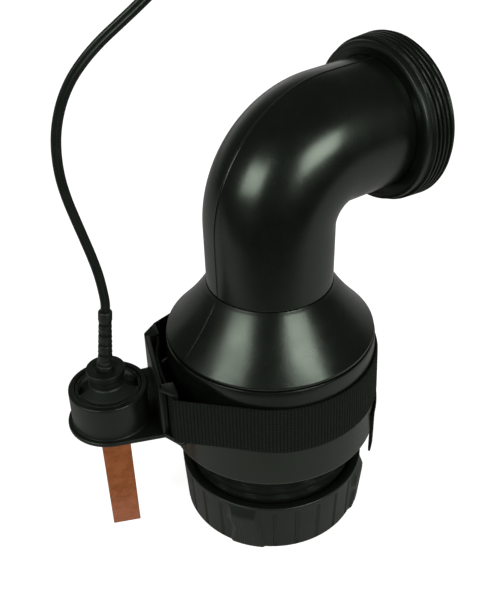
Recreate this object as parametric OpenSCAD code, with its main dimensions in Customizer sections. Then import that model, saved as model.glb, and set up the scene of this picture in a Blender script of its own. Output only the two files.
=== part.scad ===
// 90 degree discharge check valve with a union inlet and a strapped-on electrode probe.
// Millimetres, +Z up. The body axis is Z, z = 0 is the mouth of the inlet, the outlet looks along +X.

/* [Valve bowl] */
// Outer radius of the bowl at its foot
bowl_foot_r = 53.3; // [53:0.1:54]
// Outer radius of the bowl at its rim
bowl_rim_r = 51.2; // [50.9:0.1:51.8]
// Height of the bowl's foot above the inlet mouth
bowl_foot_z = 53.8; // [53:0.1:55]
// Height of the joint between the bowl and the upper housing
shoulder_z = 109.2; // [108:0.2:113]
// Wall of the bowl and of the upper housing
wall = 3.6; // [3:0.1:4]
// Overlap of the bonded joint between the bowl and the upper housing
lap_h = 7; // [5:0.5:9]

/* [Upper housing] */
// Height of the seam between the cone and the elbow tube
neck_z = 137.6; // [136:0.2:140]
// Radius of the cone at the neck seam
neck_r = 30.5; // [30.3:0.1:31.6]
// How far the cone bulges past a straight line, less than nothing for a hollow flank
cone_bulge = -1.3; // [-2:0.1:1]
// Outer radius of the elbow tube
tube_r = 30.5; // [30.2:0.1:30.6]
// Radius of the water way in the elbow and the collar
pipe_bore_r = 26.3; // [25.6:0.1:26.8]
// Length of the elbow's spigot in the cone
spigot_len = 8; // [6:0.5:9]
// Radius of the water way in the seat and the tailpiece
bore_r = 25.2; // [24.5:0.1:25.6]
// Height of the outlet axis
outlet_z = 199.4; // [198.4:0.2:203]
// Radius of the elbow's centre line
bend_r = 32.4; // [31.6:0.2:35]
// Height of the mould parting rib on the elbow and cone
rib_h = 0.35; // [0.2:0.05:0.6]

/* [Outlet collar] */
// Distance of the collar's back face from the body axis
collar_x = 58.8; // [57:0.2:60]
// Length of the collar
collar_len = 16.6; // [15.6:0.2:19]
// Crest radius of the outlet thread
outlet_thread_r = 38.8; // [38:0.1:39.4]
// Pitch of the outlet thread
outlet_pitch = 2.31; // [2.2:0.01:2.6]
// Depth of the outlet thread
outlet_thread_h = 1.3; // [1:0.1:1.6]
// Depth of the pocket in the collar's mouth
mouth_depth = 7; // [4:0.5:8]
// Radius of the pocket in the collar's mouth
mouth_r = 31.6; // [31:0.1:32.4]

/* [Union joint] */
// Root radius of the thread on the bowl's neck
neck_root_r = 41; // [40.6:0.1:41.4]
// Depth of the union thread
union_thread_h = 1.7; // [1.2:0.1:1.9]
// Pitch of the union thread
union_pitch = 6; // [5.5:0.25:7]
// Height of the nut
nut_h = 29.8; // [28:0.2:31]
// Outer radius of the nut at its top rim
nut_top_r = 47.9; // [47.4:0.1:48.6]
// Outer radius of the nut at its bottom
nut_foot_r = 46.4; // [45.8:0.1:46.8]
// Thickness of the nut's lip under the tailpiece flange
nut_lip_h = 5.2; // [4:0.2:6]
// Turn of the nut's first grip lug about the body axis, in degrees
nut_turn = 37.4; // [0:0.2:90]
// Radial clearance between the neck's thread and the nut
thread_gap = 0.35; // [0.3:0.05:0.5]
// Radius of the pipe socket in the tailpiece
socket_r = 30.2; // [29.8:0.1:30.8]
// Depth of the pipe socket
socket_depth = 38; // [32:1:40]
// Thickness of the tailpiece flange
flange_h = 7.2; // [6:0.2:8]

/* [Check flapper] */
// Radius of the flapper plate
flap_r = 32.3; // [31:0.1:32.4]
// Thickness of the flapper plate
flap_t = 4; // [3:0.2:5]
// Thickness of the rubber face
seal_t = 1.8; // [1.4:0.1:2.4]
// Radius of the hinge pin
pin_r = 2; // [1.5:0.1:2.2]
// Distance of the hinge pin from the body axis
pin_x = 36.5; // [36.3:0.1:37.2]
// Running clearance of the pin in the flapper
pin_play = 0.05; // [0.02:0.01:0.1]
// Width of the flapper knuckle
knuckle_w = 18; // [14:0.5:20]

/* [Probe bracket] */
// Direction of the probe cup from the body axis, in degrees
cup_az = 161.5; // [150:0.1:180]
// Distance of the cup's axis from the body axis
cup_dist = 82.3; // [80:0.2:86]
// Outer radius of the cup at its rim
cup_rim_r = 19; // [18.6:0.1:19.1]
// Outer radius of the cup at its foot
cup_foot_r = 19.1; // [18.9:0.1:19.6]
// Inner radius of the cup
cup_bore_r = 16.1; // [15.8:0.1:16.4]
// Height of the cup's rim above the bracket's underside
cup_h = 21; // [18:0.5:22]
// Height of the bracket's underside
bracket_z = 72.5; // [72:0.1:73]
// Thickness of the bracket's base plate
plate_t = 2.4; // [2:0.1:2.6]
// Distance of the strap wall's inner face from the body axis
strap_wall_x = 59.5; // [59.4:0.1:61]
// Thickness of the strap wall
strap_wall_t = 2.4; // [2:0.1:3]

/* [Strap] */
// Width of the webbing
strap_w = 25.4; // [20:0.2:25.4]
// Thickness of the webbing
strap_t = 1.5; // [1.2:0.1:1.6]
// Height of the webbing's lower edge
strap_z = 75.4; // [75.3:0.1:77]
// How far the loose tail drops below the band
tail_drop = 36; // [28:0.5:38]

/* [Probe] */
// Radius of the probe body
probe_r = 15.9; // [15.2:0.1:15.9]
// Radius of the gland cap
gland_r = 9.2; // [8.5:0.1:10]
// Turn of the probe in its cup, in degrees
probe_turn = -5.7; // [-20:0.1:20]
// Width of an electrode bar
bar_w = 14; // [12:0.1:14.4]
// Thickness of an electrode bar
bar_t = 3; // [2:0.1:3.2]
// Distance between the two bars' middles
bar_pitch = 14.8; // [12:0.1:15]
// Height of the bars' lower ends above the inlet mouth
bar_foot_z = 7.4; // [1:0.2:20]
// Length of the ribbed strain relief
boot_len = 32; // [28:1:34]
// Lean of the strain relief towards the body, in degrees
boot_lean = 6.5; // [0:0.5:9]

/* [Cord] */
// Width of the flat two-core cord
cord_w = 4.4; // [4:0.1:5.2]
// Thickness of the flat two-core cord
cord_t = 2.6; // [2.4:0.1:3]
// Length of the connector body
plug_len = 24; // [18:1:30]
// Radius of the connector body
plug_r = 5; // [4:0.1:6]

/* [Hidden] */
$fn = 96;
EPS = 0.01;
SNUG = 0.02;
GAP = 0.1;

// bowl and housing
bowl_in_r = bowl_rim_r - wall - 0.4;
floor_z = bowl_foot_z + 1.7;
neck_end_z = nut_lip_h + 0.4 + flange_h + 0.3;
neck_in_r = neck_root_r - 3.4;
neck_crest_r = neck_root_r + union_thread_h;
rim_top_z = shoulder_z - 0.3;
horizontal_z = outlet_z - bend_r;
spigot_r = tube_r - 1.8;

function lerp(a, b, t) = a + (b - a) * t;
function cone_r(t) = lerp(neck_r, bowl_rim_r - 0.5, t) + 4 * cone_bulge * t * (1 - t);
function cone_z(t) = lerp(neck_z, shoulder_z + 1.6, t);

// seat and flapper
seat_bore_r = bore_r + 0.2;
seat_spigot_r = neck_in_r - 0.2;
seat_top_z = floor_z + 3.4;
lip_z = seat_top_z + 2.3;
seal_z = lip_z + GAP;
flap_z = seal_z + seal_t;
pin_z = flap_z + 0.5 * flap_t + 0.1;
lug_t = 4;
lug_y = knuckle_w / 2 + 0.4;
pin_half = lug_y + lug_t + 2;
screw_nut_z = flap_z + flap_t + 1.62;

// union
nut_bore_r = neck_crest_r + thread_gap;
union_turns = floor((bowl_foot_z - 7 - neck_end_z - 4) / union_pitch) + 1;
flange_r = neck_root_r - 0.4;
flange_z = nut_lip_h + 0.4;
flange_top_z = flange_z + flange_h;
tail_r = socket_r + 5.2;
nut_eye_r = tail_r + 0.5;
tail_top_z = socket_depth + 4;
ring_r = (neck_in_r + neck_root_r) / 2;
ring_t = 1.3;
grooves_per_lug = 5;

// bracket, in its own frame: X outwards through the cup, Y towards the near side
plate_top_z = bracket_z + plate_t;
cup_top_z = bracket_z + cup_h;
wall_top_z = strap_z + strap_w + 2.2;
post_y = 19;
post_end_y = 28;
post_x = strap_wall_x - 5.5;
post_t = 1.9;
wall_out_x = strap_wall_x + strap_wall_t;
band_r = bowl_foot_r + (strap_z - bowl_foot_z) * (bowl_rim_r - bowl_foot_r) / (shoulder_z - bowl_foot_z)
    + 0.05 + strap_t / 2;
band_a = 61.6;
band_x = strap_wall_x - 0.15 - strap_t / 2;

// probe
cap_z = cup_top_z - 2;
face_z = cup_top_z - 0.3;
skirt_t = 1.6;
gland_z = cap_z + 7.7;
gland_h = 5.2;
boot_foot_z = gland_z + 1;
bar_top_z = cap_z - 5.5;
pot_top_z = cap_z - 2;
boot_r = 3.3;
boot_tip_r = 2.9;
boot_z = gland_z + gland_h;

// strap tail, in the bracket's frame
tail_r_in = band_r + strap_t / 2 + 1;
tail_from = 298;
tail_to = 143;
tape_from = 190;

// cord: route points, chosen by hand, from the tip of the strain relief to the connector
ROUTE = [[-74.6, 24.95, 136.4], [-74.2, 24.8, 139.7], [-74.1, 25.4, 144.9], [-74.5, 26.8, 154.1],
    [-75.6, 28.8, 163.2], [-77.1, 31.1, 172.4], [-78.7, 33.3, 181.6], [-80.2, 35.2, 190.8],
    [-81.1, 36.4, 200], [-81.2, 36.6, 209.3], [-80.5, 35.9, 218.6], [-78.9, 34.3, 227.5],
    [-76.4, 31.9, 236.1], [-72.9, 28.7, 244.2], [-68.5, 24.8, 251.5], [-63.4, 20.4, 258.3],
    [-57.9, 15.6, 264.6], [-52.6, 10.8, 270.7], [-47.6, 6.1, 276.8]];
// the way the flat side of the cord faces along the route
FLAT_SIDE = [-0.54, -0.75, 0.38];

// ---------- helpers ----------
module in_bracket() {
    rotate([0, 0, cup_az]) children();
}

module in_probe() {
    in_bracket() translate([cup_dist, 0, 0]) rotate([0, 0, probe_turn]) children();
}

module turned(points) {
    rotate_extrude() polygon(points);
}

module ring(r_in, r_out, z0, z1) {
    turned([[r_in, z0], [r_out, z0], [r_out, z1], [r_in, z1]]);
}

module oring(r, t, z) {
    translate([0, 0, z]) rotate_extrude() translate([r, 0]) circle(r = t, $fn = 32);
}

// thread crests as rings about the Z axis, the first one's middle at z0
module thread_rings(root, h, pitch, n, z0) {
    for (i = [0:n - 1]) translate([0, 0, z0 + i * pitch]) turned([
        [root - 0.3, -0.36 * pitch], [root, -0.36 * pitch], [root + h, -0.12 * pitch],
        [root + h, 0.12 * pitch], [root, 0.36 * pitch], [root - 0.3, 0.36 * pitch]]);
}

// plan of a strip of thickness t along a closed list of points, that runs anticlockwise
function unit(v) = v / norm(v);
function right_of(v) = [v[1], -v[0]];
function loop_normal(p, i) =
    let (n = len(p), a = right_of(unit(p[i] - p[(i + n - 1) % n])), b = right_of(unit(p[(i + 1) % n] - p[i])),
         m = unit(a + b))
    m / (m * a);
module loop_strip(p, t) {
    difference() {
        polygon([for (i = [0:len(p) - 1]) p[i] + loop_normal(p, i) * t / 2]);
        polygon([for (i = [0:len(p) - 1]) p[i] - loop_normal(p, i) * t / 2]);
    }
}

// a strip between radii r0 and r1 from angle a0 to a1, that drops with the strap's loose tail
function ease(t) = t * t * (3 - 2 * t);
function tail_z(a) = strap_z - tail_drop * ease((a - tail_from) / (tail_to - tail_from));
function tail_in(a, up) = 1.18 * min(max(strap_z - tail_z(a) - up, 0) / 12, 1);
module wound_strip(r0, r1, a0, a1, w, dz, n) {
    pts = [for (i = [0:n]) for (k = [0:3])
        let (a = lerp(a0, a1, i / n), r = (k == 0 || k == 3 ? r0 : r1) - tail_in(a, k < 2 ? 0 : strap_w))
        [r * cos(a), r * sin(a), tail_z(a) + dz + (k < 2 ? 0 : w)]];
    side = [for (i = [0:n - 1]) for (k = [0:3])
        [4 * i + k, 4 * (i + 1) + k, 4 * (i + 1) + (k + 1) % 4, 4 * i + (k + 1) % 4]];
    polyhedron(pts, concat(side, [[3, 2, 1, 0], [for (k = [0:3]) 4 * n + k]]), convexity = 4);
}

// ---------- valve body ----------
module bend() {
    translate([bend_r, 0, horizontal_z]) rotate([90, 0, 0]) rotate([0, 0, 90])
        rotate_extrude(angle = 90) children();
}

module elbow_tube() {
    color([0.1, 0.1, 0.1]) difference() {
        union() {
            cylinder_at(spigot_r, neck_z - spigot_len, neck_z + 1);
            cylinder_at(tube_r, neck_z, horizontal_z);
            bend() translate([bend_r, 0]) circle(r = tube_r);
            translate([bend_r, 0, outlet_z]) rotate([0, 90, 0])
                cylinder(r = tube_r, h = collar_x + collar_len - mouth_depth - 2 - bend_r);
            translate([-tube_r - rib_h, -0.5, neck_z]) cube([1, 1, horizontal_z - neck_z]);
            bend() translate([bend_r + tube_r + rib_h - 1, -0.5]) square([1, 1]);
        }
        cylinder_at(pipe_bore_r, neck_z - spigot_len - 1, horizontal_z);
        bend() translate([bend_r, 0]) circle(r = pipe_bore_r);
        translate([bend_r, 0, outlet_z]) rotate([0, 90, 0])
            cylinder(r = pipe_bore_r, h = collar_x + collar_len);
    }
}

module upper_cone() {
    cone_out = [for (i = [1:8]) [cone_r(i / 8), cone_z(i / 8)]];
    cone_in = [for (i = [8:-1:3]) [cone_r(i / 8) - wall - 0.4 * i / 8, cone_z(i / 8) - 0.6]];
    socket_z = neck_z - spigot_len;
    color([0.1, 0.1, 0.1]) union() {
        turned(concat([[neck_r - 0.4, neck_z - SNUG], [neck_r, neck_z - 0.4]], cone_out,
            [[bowl_rim_r - 0.2, shoulder_z + 0.6], [bowl_rim_r - 0.5, shoulder_z],
                [bowl_in_r - 0.05, shoulder_z], [bowl_in_r - 0.05, shoulder_z - lap_h],
                [bowl_in_r - wall, shoulder_z - lap_h], [bowl_in_r - wall, shoulder_z - 1]],
            cone_in, [[pipe_bore_r + 1, socket_z - 2.4], [pipe_bore_r, socket_z - 1.6],
                [pipe_bore_r, socket_z - SNUG], [spigot_r + SNUG, socket_z - SNUG],
                [spigot_r + SNUG, neck_z - SNUG]]));
        cone_rib();
    }
}

// raised line left by the mould, down the back of the cone
module cone_rib() {
    rotate([90, 0, 0]) translate([0, 0, -0.5]) linear_extrude(height = 1) polygon(concat(
        [for (i = [0.4:8]) [-cone_r(i / 8.2) - rib_h, cone_z(i / 8.2)]],
        [for (i = [7.4:-1:0]) [1 - rib_h - cone_r(i / 8.2), cone_z(i / 8.2)]]));
}

module outlet_collar() {
    web_x = collar_x + collar_len - mouth_depth - 2;
    root = outlet_thread_r - outlet_thread_h;
    turns = floor((collar_len - 4.6) / outlet_pitch) + 1;
    color([0.09, 0.09, 0.09]) translate([0, 0, outlet_z]) rotate([0, 90, 0]) difference() {
        union() {
            ring(tube_r + SNUG, tube_r + 2.2, collar_x - 1.2, collar_x + EPS);
            ring(tube_r + SNUG, root, collar_x, web_x + SNUG);
            ring(tube_r + SNUG, outlet_thread_r - 1.5, collar_x, collar_x + 1.6);
            ring(pipe_bore_r, root, web_x + SNUG, collar_x + collar_len);
            thread_rings(root, outlet_thread_h, outlet_pitch, turns, collar_x + 4);
        }
        translate([0, 0, collar_x + collar_len - mouth_depth]) cylinder(r = mouth_r, h = mouth_depth + 1);
    }
}

module valve_bowl() {
    color([0.08, 0.08, 0.08]) union() {
        turned([[neck_in_r, neck_end_z], [neck_root_r, neck_end_z], [neck_root_r, bowl_foot_z - 5.6],
            [neck_root_r + 3, bowl_foot_z - 5], [bowl_foot_r - 1.6, bowl_foot_z - 1.6],
            [bowl_foot_r - 0.3, bowl_foot_z - 0.8], [bowl_foot_r, bowl_foot_z],
            [bowl_rim_r, rim_top_z - 0.8], [bowl_rim_r - 0.6, rim_top_z], [bowl_in_r, rim_top_z],
            [bowl_in_r, floor_z + 2.5], [bowl_in_r - 2.5, floor_z], [neck_in_r, floor_z]]);
        thread_rings(neck_root_r, union_thread_h, union_pitch, union_turns, neck_end_z + 4);
    }
}

// ---------- check flapper ----------
module seat_ring() {
    color([0.16, 0.16, 0.17]) difference() {
        union() {
            turned([[seat_bore_r, floor_z - 8], [seat_spigot_r, floor_z - 8], [seat_spigot_r, floor_z - 6.4],
                [seat_spigot_r - 2.2, floor_z - 6.4], [seat_spigot_r - 2.2, floor_z - 3.6],
                [seat_spigot_r, floor_z - 3.6], [seat_spigot_r, floor_z + 0.05],
                [bowl_in_r - 2.7, floor_z + 0.05], [bowl_in_r - 2.7, seat_top_z],
                [seat_bore_r + 5.2, seat_top_z], [seat_bore_r + 4.6, lip_z], [seat_bore_r + 2.6, lip_z],
                [seat_bore_r, seat_top_z + 0.6]]);
            for (side = [-1, 1]) translate([-pin_x, side * (lug_y + lug_t / 2), 0]) {
                translate([-4, -lug_t / 2, seat_top_z - EPS]) cube([7.5, lug_t, pin_z - seat_top_z]);
                translate([-0.25, 0, pin_z]) rotate([90, 0, 0]) cylinder(r = 3.75, h = lug_t, center = true);
            }
        }
        translate([-pin_x, 0, pin_z]) rotate([90, 0, 0]) cylinder(r = pin_r + SNUG, h = 60, center = true);
    }
}

module seat_oring() {
    color([0.05, 0.05, 0.05]) oring(seat_spigot_r - 0.98, 1.15, floor_z - 5);
}

module flapper() {
    color([0.2, 0.2, 0.21]) difference() {
        union() {
            translate([0, 0, flap_z]) cylinder(r = flap_r, h = flap_t);
            translate([0, 0, flap_z + flap_t - EPS]) cylinder(r1 = 20, r2 = 9, h = 1.6);
            translate([-pin_x, 0, pin_z]) rotate([90, 0, 0]) cylinder(r = 4.1, h = knuckle_w, center = true);
            translate([-pin_x, -knuckle_w / 2 + 2, flap_z + 0.2])
                cube([pin_x - flap_r + 12, knuckle_w - 4, flap_t - 0.4]);
            for (y = [-6, 6]) translate([-pin_x + 3, y - 1, flap_z + flap_t - 1]) cube([26, 2, 3]);
        }
        translate([-pin_x, 0, pin_z]) rotate([90, 0, 0])
            cylinder(r = pin_r + pin_play, h = knuckle_w + 2, center = true);
        translate([0, 0, flap_z - 1]) cylinder(r = 3.05, h = flap_t + 4);
    }
}

module flapper_seal() {
    color([0.03, 0.03, 0.03]) ring(3.05, flap_r - 1, seal_z, flap_z - SNUG);
}

module seal_washer() {
    color([0.7, 0.7, 0.72]) ring(3.05, 14, seal_z - 1.2, seal_z - SNUG);
}

module seal_screw() {
    color([0.75, 0.75, 0.77]) difference() {
        union() {
            cylinder_at(3, seal_z - 1.6, screw_nut_z + 3);
            turned([[0, seal_z - 4.2], [4.6, seal_z - 4.2], [5.5, seal_z - 3.4], [5.5, seal_z - 1.22],
                [0, seal_z - 1.22]]);
        }
        translate([0, 0, seal_z - 4.3]) cylinder(r = 2.3, h = 1.8, $fn = 6);
    }
}

module seal_nut() {
    color([0.75, 0.75, 0.77]) difference() {
        translate([0, 0, screw_nut_z]) cylinder(r = 5.6, h = 2.4, $fn = 6);
        cylinder_at(3 + SNUG, screw_nut_z - 1, screw_nut_z + 4);
    }
}

module cylinder_at(r, z0, z1) {
    translate([0, 0, z0]) cylinder(r = r, h = z1 - z0);
}

module hinge_pin() {
    color([0.75, 0.75, 0.77]) translate([-pin_x, 0, pin_z]) rotate([90, 0, 0]) difference() {
        cylinder(r = pin_r, h = 2 * pin_half, center = true);
        for (s = [-1, 1]) translate([0, 0, s * (lug_y + lug_t + 0.8)]) difference() {
            cylinder(r = pin_r + 1, h = 0.8, center = true);
            cylinder(r = pin_r - 0.5, h = 2, center = true);
        }
    }
}

module pin_clips() {
    color([0.6, 0.6, 0.62]) translate([-pin_x, 0, pin_z]) rotate([90, 0, 0])
        for (s = [-1, 1]) translate([0, 0, s * (lug_y + lug_t + 0.8)]) difference() {
            cylinder(r = pin_r + 1.6, h = 0.7, center = true);
            cylinder(r = pin_r - 0.48, h = 2, center = true);
            translate([-0.9, -6, -2]) cube([1.8, 6, 4]);
        }
}

// ---------- union ----------
module union_nut() {
    color([0.1, 0.1, 0.1]) difference() {
        union() {
            turned([[nut_eye_r, 0], [nut_foot_r - 0.8, 0], [nut_foot_r, 0.8], [nut_top_r, nut_h - 1.2],
                [nut_top_r - 0.8, nut_h], [nut_bore_r, nut_h], [nut_bore_r, nut_lip_h],
                [nut_eye_r, nut_lip_h]]);
            for (i = [0:3]) rotate([0, 0, nut_turn + 90 * i]) grip_lug();
        }
        for (i = [0:3], j = [1:grooves_per_lug])
            rotate([0, 0, nut_turn + 90 * i + 17.5 + 13.75 * (j - 1)]) grip_groove();
    }
}

// a grip lug: a block with sloping flanks and a sloping top, that stands proud of the nut
module grip_lug() {
    intersection() {
        translate([0, 0, 0.4]) linear_extrude(height = nut_h - 2.4) polygon([
            [nut_bore_r + 0.4, -9.2], [nut_foot_r, -9.2], [nut_top_r + 3.4, -5.2],
            [nut_top_r + 3.4, 5.2], [nut_foot_r, 9.2], [nut_bore_r + 0.4, 9.2]]);
        turned([[nut_bore_r + 0.4, 0.4], [nut_foot_r + 1.4, 0.4], [nut_top_r + 2.8, 17.5],
            [nut_top_r + 2.8, 19], [nut_top_r - 1.2, nut_h - 2.6], [nut_bore_r + 0.4, nut_h - 2.6]]);
    }
}

module grip_groove() {
    translate([nut_foot_r - 0.2, -0.8, -1]) rotate([0, 4.2, 0]) cube([6, 1.6, nut_h - 1.5]);
}

module union_tailpiece() {
    color([0.14, 0.14, 0.15]) turned([[socket_r, 0], [tail_r, 0], [tail_r, flange_z],
        [flange_r, flange_z],
        [flange_r, flange_top_z], [ring_r + ring_t + 0.15, flange_top_z],
        [ring_r + ring_t + 0.15, flange_top_z - 2.4], [ring_r - ring_t - 0.15, flange_top_z - 2.4],
        [ring_r - ring_t - 0.15, flange_top_z], [tail_r - 0.6, flange_top_z], [tail_r - 0.6, tail_top_z],
        [bore_r + 0.8, tail_top_z], [bore_r + 0.8, socket_depth], [socket_r, socket_depth]]);
}

module union_oring() {
    color([0.05, 0.05, 0.05]) oring(ring_r, ring_t, flange_top_z - 2.4 + ring_t + 0.03);
}

// ---------- probe bracket ----------
module bracket_plan() {
    r = cup_foot_r + 2.2;
    side = [[strap_wall_x + 1.5, r + 1.6], [strap_wall_x - 2.3, 28.4], [strap_wall_x - 4.1, 31.2],
        [strap_wall_x - 6.1, 31.2]];
    far = [[strap_wall_x + 1.5, -r - 1.6], [strap_wall_x - 1, -30], [strap_wall_x - 7.5, -37.5],
        [strap_wall_x - 15, -42.5], [strap_wall_x - 20, -40.5]];
    inner = [for (a = [28:-4:-44]) (bowl_foot_r - 0.45) * [cos(a), sin(a)]];
    polygon(concat([for (a = [90:-10:-90]) [cup_dist + r * cos(a), r * sin(a)]],
        far, [for (i = [len(inner) - 1:-1:0]) inner[i]],
        [for (i = [3:-1:0]) side[i]]));
}

module probe_bracket() {
    color([0.1, 0.1, 0.1]) in_bracket() difference() {
        union() {
            translate([0, 0, bracket_z]) linear_extrude(height = plate_t) bracket_plan();
            translate([cup_dist, 0, plate_top_z - EPS])
                cylinder(r1 = cup_foot_r, r2 = cup_rim_r, h = cup_top_z - plate_top_z + EPS);
            translate([strap_wall_x, -19.6, bracket_z]) cube([strap_wall_t, 42, wall_top_z - bracket_z]);
            translate([strap_wall_x + 1, -8, plate_top_z - EPS])
                cube([cup_dist - 14.5 - strap_wall_x, 16, cup_top_z - plate_top_z - 0.6]);
            // near end: a post inside the webbing, a bead on the wall outside it, a bridge over both
            translate([strap_wall_x - 1.2, 18.8, bracket_z])
                cube([strap_wall_t + 1.2, 3.6, wall_top_z - bracket_z]);
            translate([post_x, post_y, bracket_z]) cube([post_t, post_end_y - post_y, wall_top_z - bracket_z]);
            translate([0, 0, wall_top_z - 1.8]) linear_extrude(height = 1.8) polygon([
                [post_x, 19], [strap_wall_x + 1, 19], [wall_out_x, 21.6], [wall_out_x, 22.4],
                [post_x + 1.4, 29.4], [post_x, 29.4]]);
            // far end: the wall turns in to a post outside the webbing, under a top that covers both
            translate([0, 0, bracket_z]) linear_extrude(height = wall_top_z - bracket_z) polygon([
                [post_x, -19], [wall_out_x, -19], [wall_out_x, -19.6], [post_x, post_x - wall_out_x - 19.6]]);
            translate([0, 0, wall_top_z - 1.8]) linear_extrude(height = 1.8) polygon([
                [post_x - 2.1, -19], [wall_out_x, -19], [wall_out_x, -19.6],
                [post_x - 2.1, post_x - 2.1 - wall_out_x - 19.6]]);
        }
        translate([cup_dist, 0, plate_top_z]) cylinder(r = cup_bore_r, h = cup_h);
        translate([cup_dist, 0, 0]) rotate([0, 0, probe_turn]) for (s = [-1, 1])
            translate([-bar_w / 2 - 0.5, s * bar_pitch / 2 - bar_t / 2 - 0.5, bracket_z - 1])
                cube([bar_w + 1, bar_t + 1, plate_t + 2]);
    }
}

// ---------- probe ----------
module probe_body() {
    color([0.12, 0.12, 0.12]) in_probe() difference() {
        union() {
            ring(probe_r - skirt_t, probe_r, plate_top_z + 0.1, cap_z - 1);
            turned([[3.6, cap_z - 2], [probe_r, cap_z - 2], [probe_r, face_z - 0.5], [probe_r - 0.5, face_z],
                [13.4, face_z], [gland_r - 0.6, face_z + 2.7], [gland_r - 0.9, face_z + 3.2],
                [gland_r - 0.9, gland_z], [3.6, gland_z]]);
            for (i = [0:7]) rotate([0, 0, 22.5 + 45 * i]) translate([probe_r - 2, -0.8, face_z - 1])
                cube([1.6, 1.6, 1.5]);
        }
        for (s = [-1, 1]) translate([s * 11.9 - 2.2, -3.4, cap_z - 1.2]) cube([4.4, 6.8, 8]);
    }
}

module gland_cap() {
    color([0.12, 0.12, 0.12]) in_probe() turned([[3.6, gland_z + SNUG], [gland_r - 0.7, gland_z + SNUG],
        [gland_r - 0.7, gland_z + 1.2], [gland_r - 0.35, gland_z + 1.4], [gland_r - 0.35, gland_z + 3.3],
        [gland_r, gland_z + 3.5], [gland_r, gland_z + gland_h - 0.4], [gland_r - 0.4, gland_z + gland_h],
        [3.6, gland_z + gland_h]]);
}

module bar(side) {
    color([0.72, 0.45, 0.3]) in_probe()
        translate([-bar_w / 2, side * bar_pitch / 2 - bar_t / 2, bar_foot_z])
            cube([bar_w, bar_t, bar_top_z - bar_foot_z]);
}

module electrode_front() {
    bar(1);
}

module electrode_rear() {
    bar(-1);
}

module lug_blanks(grow) {
    for (s = [-1, 1])
        translate([-3 - grow, s * (bar_pitch / 2 - bar_t / 2 - 0.45) - 0.4 - grow, bar_top_z - 6])
            cube([6 + 2 * grow, 0.8 + 2 * grow, 7 + grow]);
}

module wire_blanks(grow) {
    for (s = [-1, 1]) translate([0, s * 2.2, bar_top_z - 5.5])
        cylinder(r = 1.1 + grow, h = boot_foot_z - 0.1 - bar_top_z + 5.5);
}

module terminal_lugs() {
    color([0.8, 0.68, 0.35]) in_probe() union() {
        lug_blanks(0);
        for (s = [-1, 1]) translate([-1.2, s > 0 ? 3.32 : -bar_pitch / 2 + bar_t / 2 + 0.4, bar_top_z - 5])
            cube([2.4, bar_pitch / 2 - bar_t / 2 - 0.4 - 3.32, 2]);
    }
}

module core_wires() {
    color([0.5, 0.1, 0.1]) in_probe() wire_blanks(0);
}

module potting() {
    color([0.15, 0.15, 0.14]) in_probe() difference() {
        cylinder_at(probe_r - skirt_t - SNUG, plate_top_z + 1, pot_top_z - SNUG);
        for (s = [-1, 1]) translate([-bar_w / 2 - SNUG, s * bar_pitch / 2 - bar_t / 2 - SNUG, plate_top_z])
            cube([bar_w + 2 * SNUG, bar_t + 2 * SNUG, bar_top_z - plate_top_z + SNUG]);
        lug_blanks(SNUG);
        wire_blanks(SNUG);
        for (s = [-1, 1])
            translate([-1.2 - SNUG, s > 0 ? 3.2 : -bar_pitch / 2 + bar_t / 2 + 0.3, bar_top_z - 5 - SNUG])
                cube([2.4 + 2 * SNUG, bar_pitch / 2 - bar_t / 2 - 3.5, 2 + 2 * SNUG]);
    }
}

// ribbed rubber sleeve that leans towards the body
module strain_relief() {
    ribs = 7;
    pitch = (boot_len - 6) / ribs;
    color([0.08, 0.08, 0.08]) in_probe() union() {
        cylinder_at(3.55, boot_foot_z, boot_z + 0.3);
        translate([0, 0, boot_z]) rotate([0, 0, -probe_turn]) rotate([0, -boot_lean, 0]) {
            turned(concat([[0, -0.5], [boot_r, -0.5], [boot_r, 2]],
                [for (i = [0:ribs - 1]) for (q = [[-0.75, 0], [-0.75, 0.9], [0, 1.2], [0, pitch]])
                    [lerp(boot_r, boot_tip_r, i / ribs) + q[0], 2 + i * pitch + q[1]]],
                [[boot_tip_r + 0.25, boot_len - 3.5], [boot_tip_r + 0.25, boot_len - 0.6],
                    [boot_tip_r - 0.4, boot_len], [0, boot_len]]));
        }
    }
}

// ---------- strap ----------
module strap_band() {
    leave = band_r * [cos(band_a), sin(band_a)];
    turn_x = band_x - 1.4;
    turn_y = leave[1] - (turn_x - leave[0]) * cos(band_a) / sin(band_a);
    far_x = strap_wall_x - 6.9;
    loop = concat([for (i = [0:80]) let (a = lerp(band_a, 360 - band_a, i / 80)) band_r * [cos(a), sin(a)]],
        [[far_x - 0.7, -31.5], [far_x - 0.1, -26], [far_x, -19.6], [far_x + 1.2, -15.6], [far_x + 3.3, -11.4],
        [band_x - 0.7, -7], [band_x, -2.5], [band_x, 4], [band_x - 0.6, 11], [turn_x, 18], [turn_x, turn_y]]);
    color([0.13, 0.13, 0.12]) in_bracket() translate([0, 0, strap_z]) linear_extrude(height = strap_w)
        loop_strip(loop, strap_t);
}

module strap_tail() {
    color([0.13, 0.13, 0.12]) in_bracket()
        wound_strip(tail_r_in, tail_r_in + strap_t - 0.2, tail_from, tail_to, strap_w, 0, 28);
}

// hook tape sewn to the inside of the loose end
module hook_tape() {
    color([0.07, 0.07, 0.07]) in_bracket()
        wound_strip(tail_r_in - 0.42, tail_r_in - 0.1, tape_from, tail_to + 1, strap_w - 3, 1.5, 16);
}

// ---------- cord ----------
// a smooth curve through the route's points, and an oval ring of 8 corners at each sample
function spline(p, i, t) =
    let (a = p[max(i - 1, 0)], b = p[i], c = p[i + 1], d = p[min(i + 2, len(p) - 1)])
    0.5 * ((2 * b) + (c - a) * t + (2 * a - 5 * b + 4 * c - d) * t * t + (3 * b - a - 3 * c + d) * t * t * t);
LINE = [for (i = [0:len(ROUTE) - 2]) each [spline(ROUTE, i, 0), spline(ROUTE, i, 0.5)],
    ROUTE[len(ROUTE) - 1]];

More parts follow.
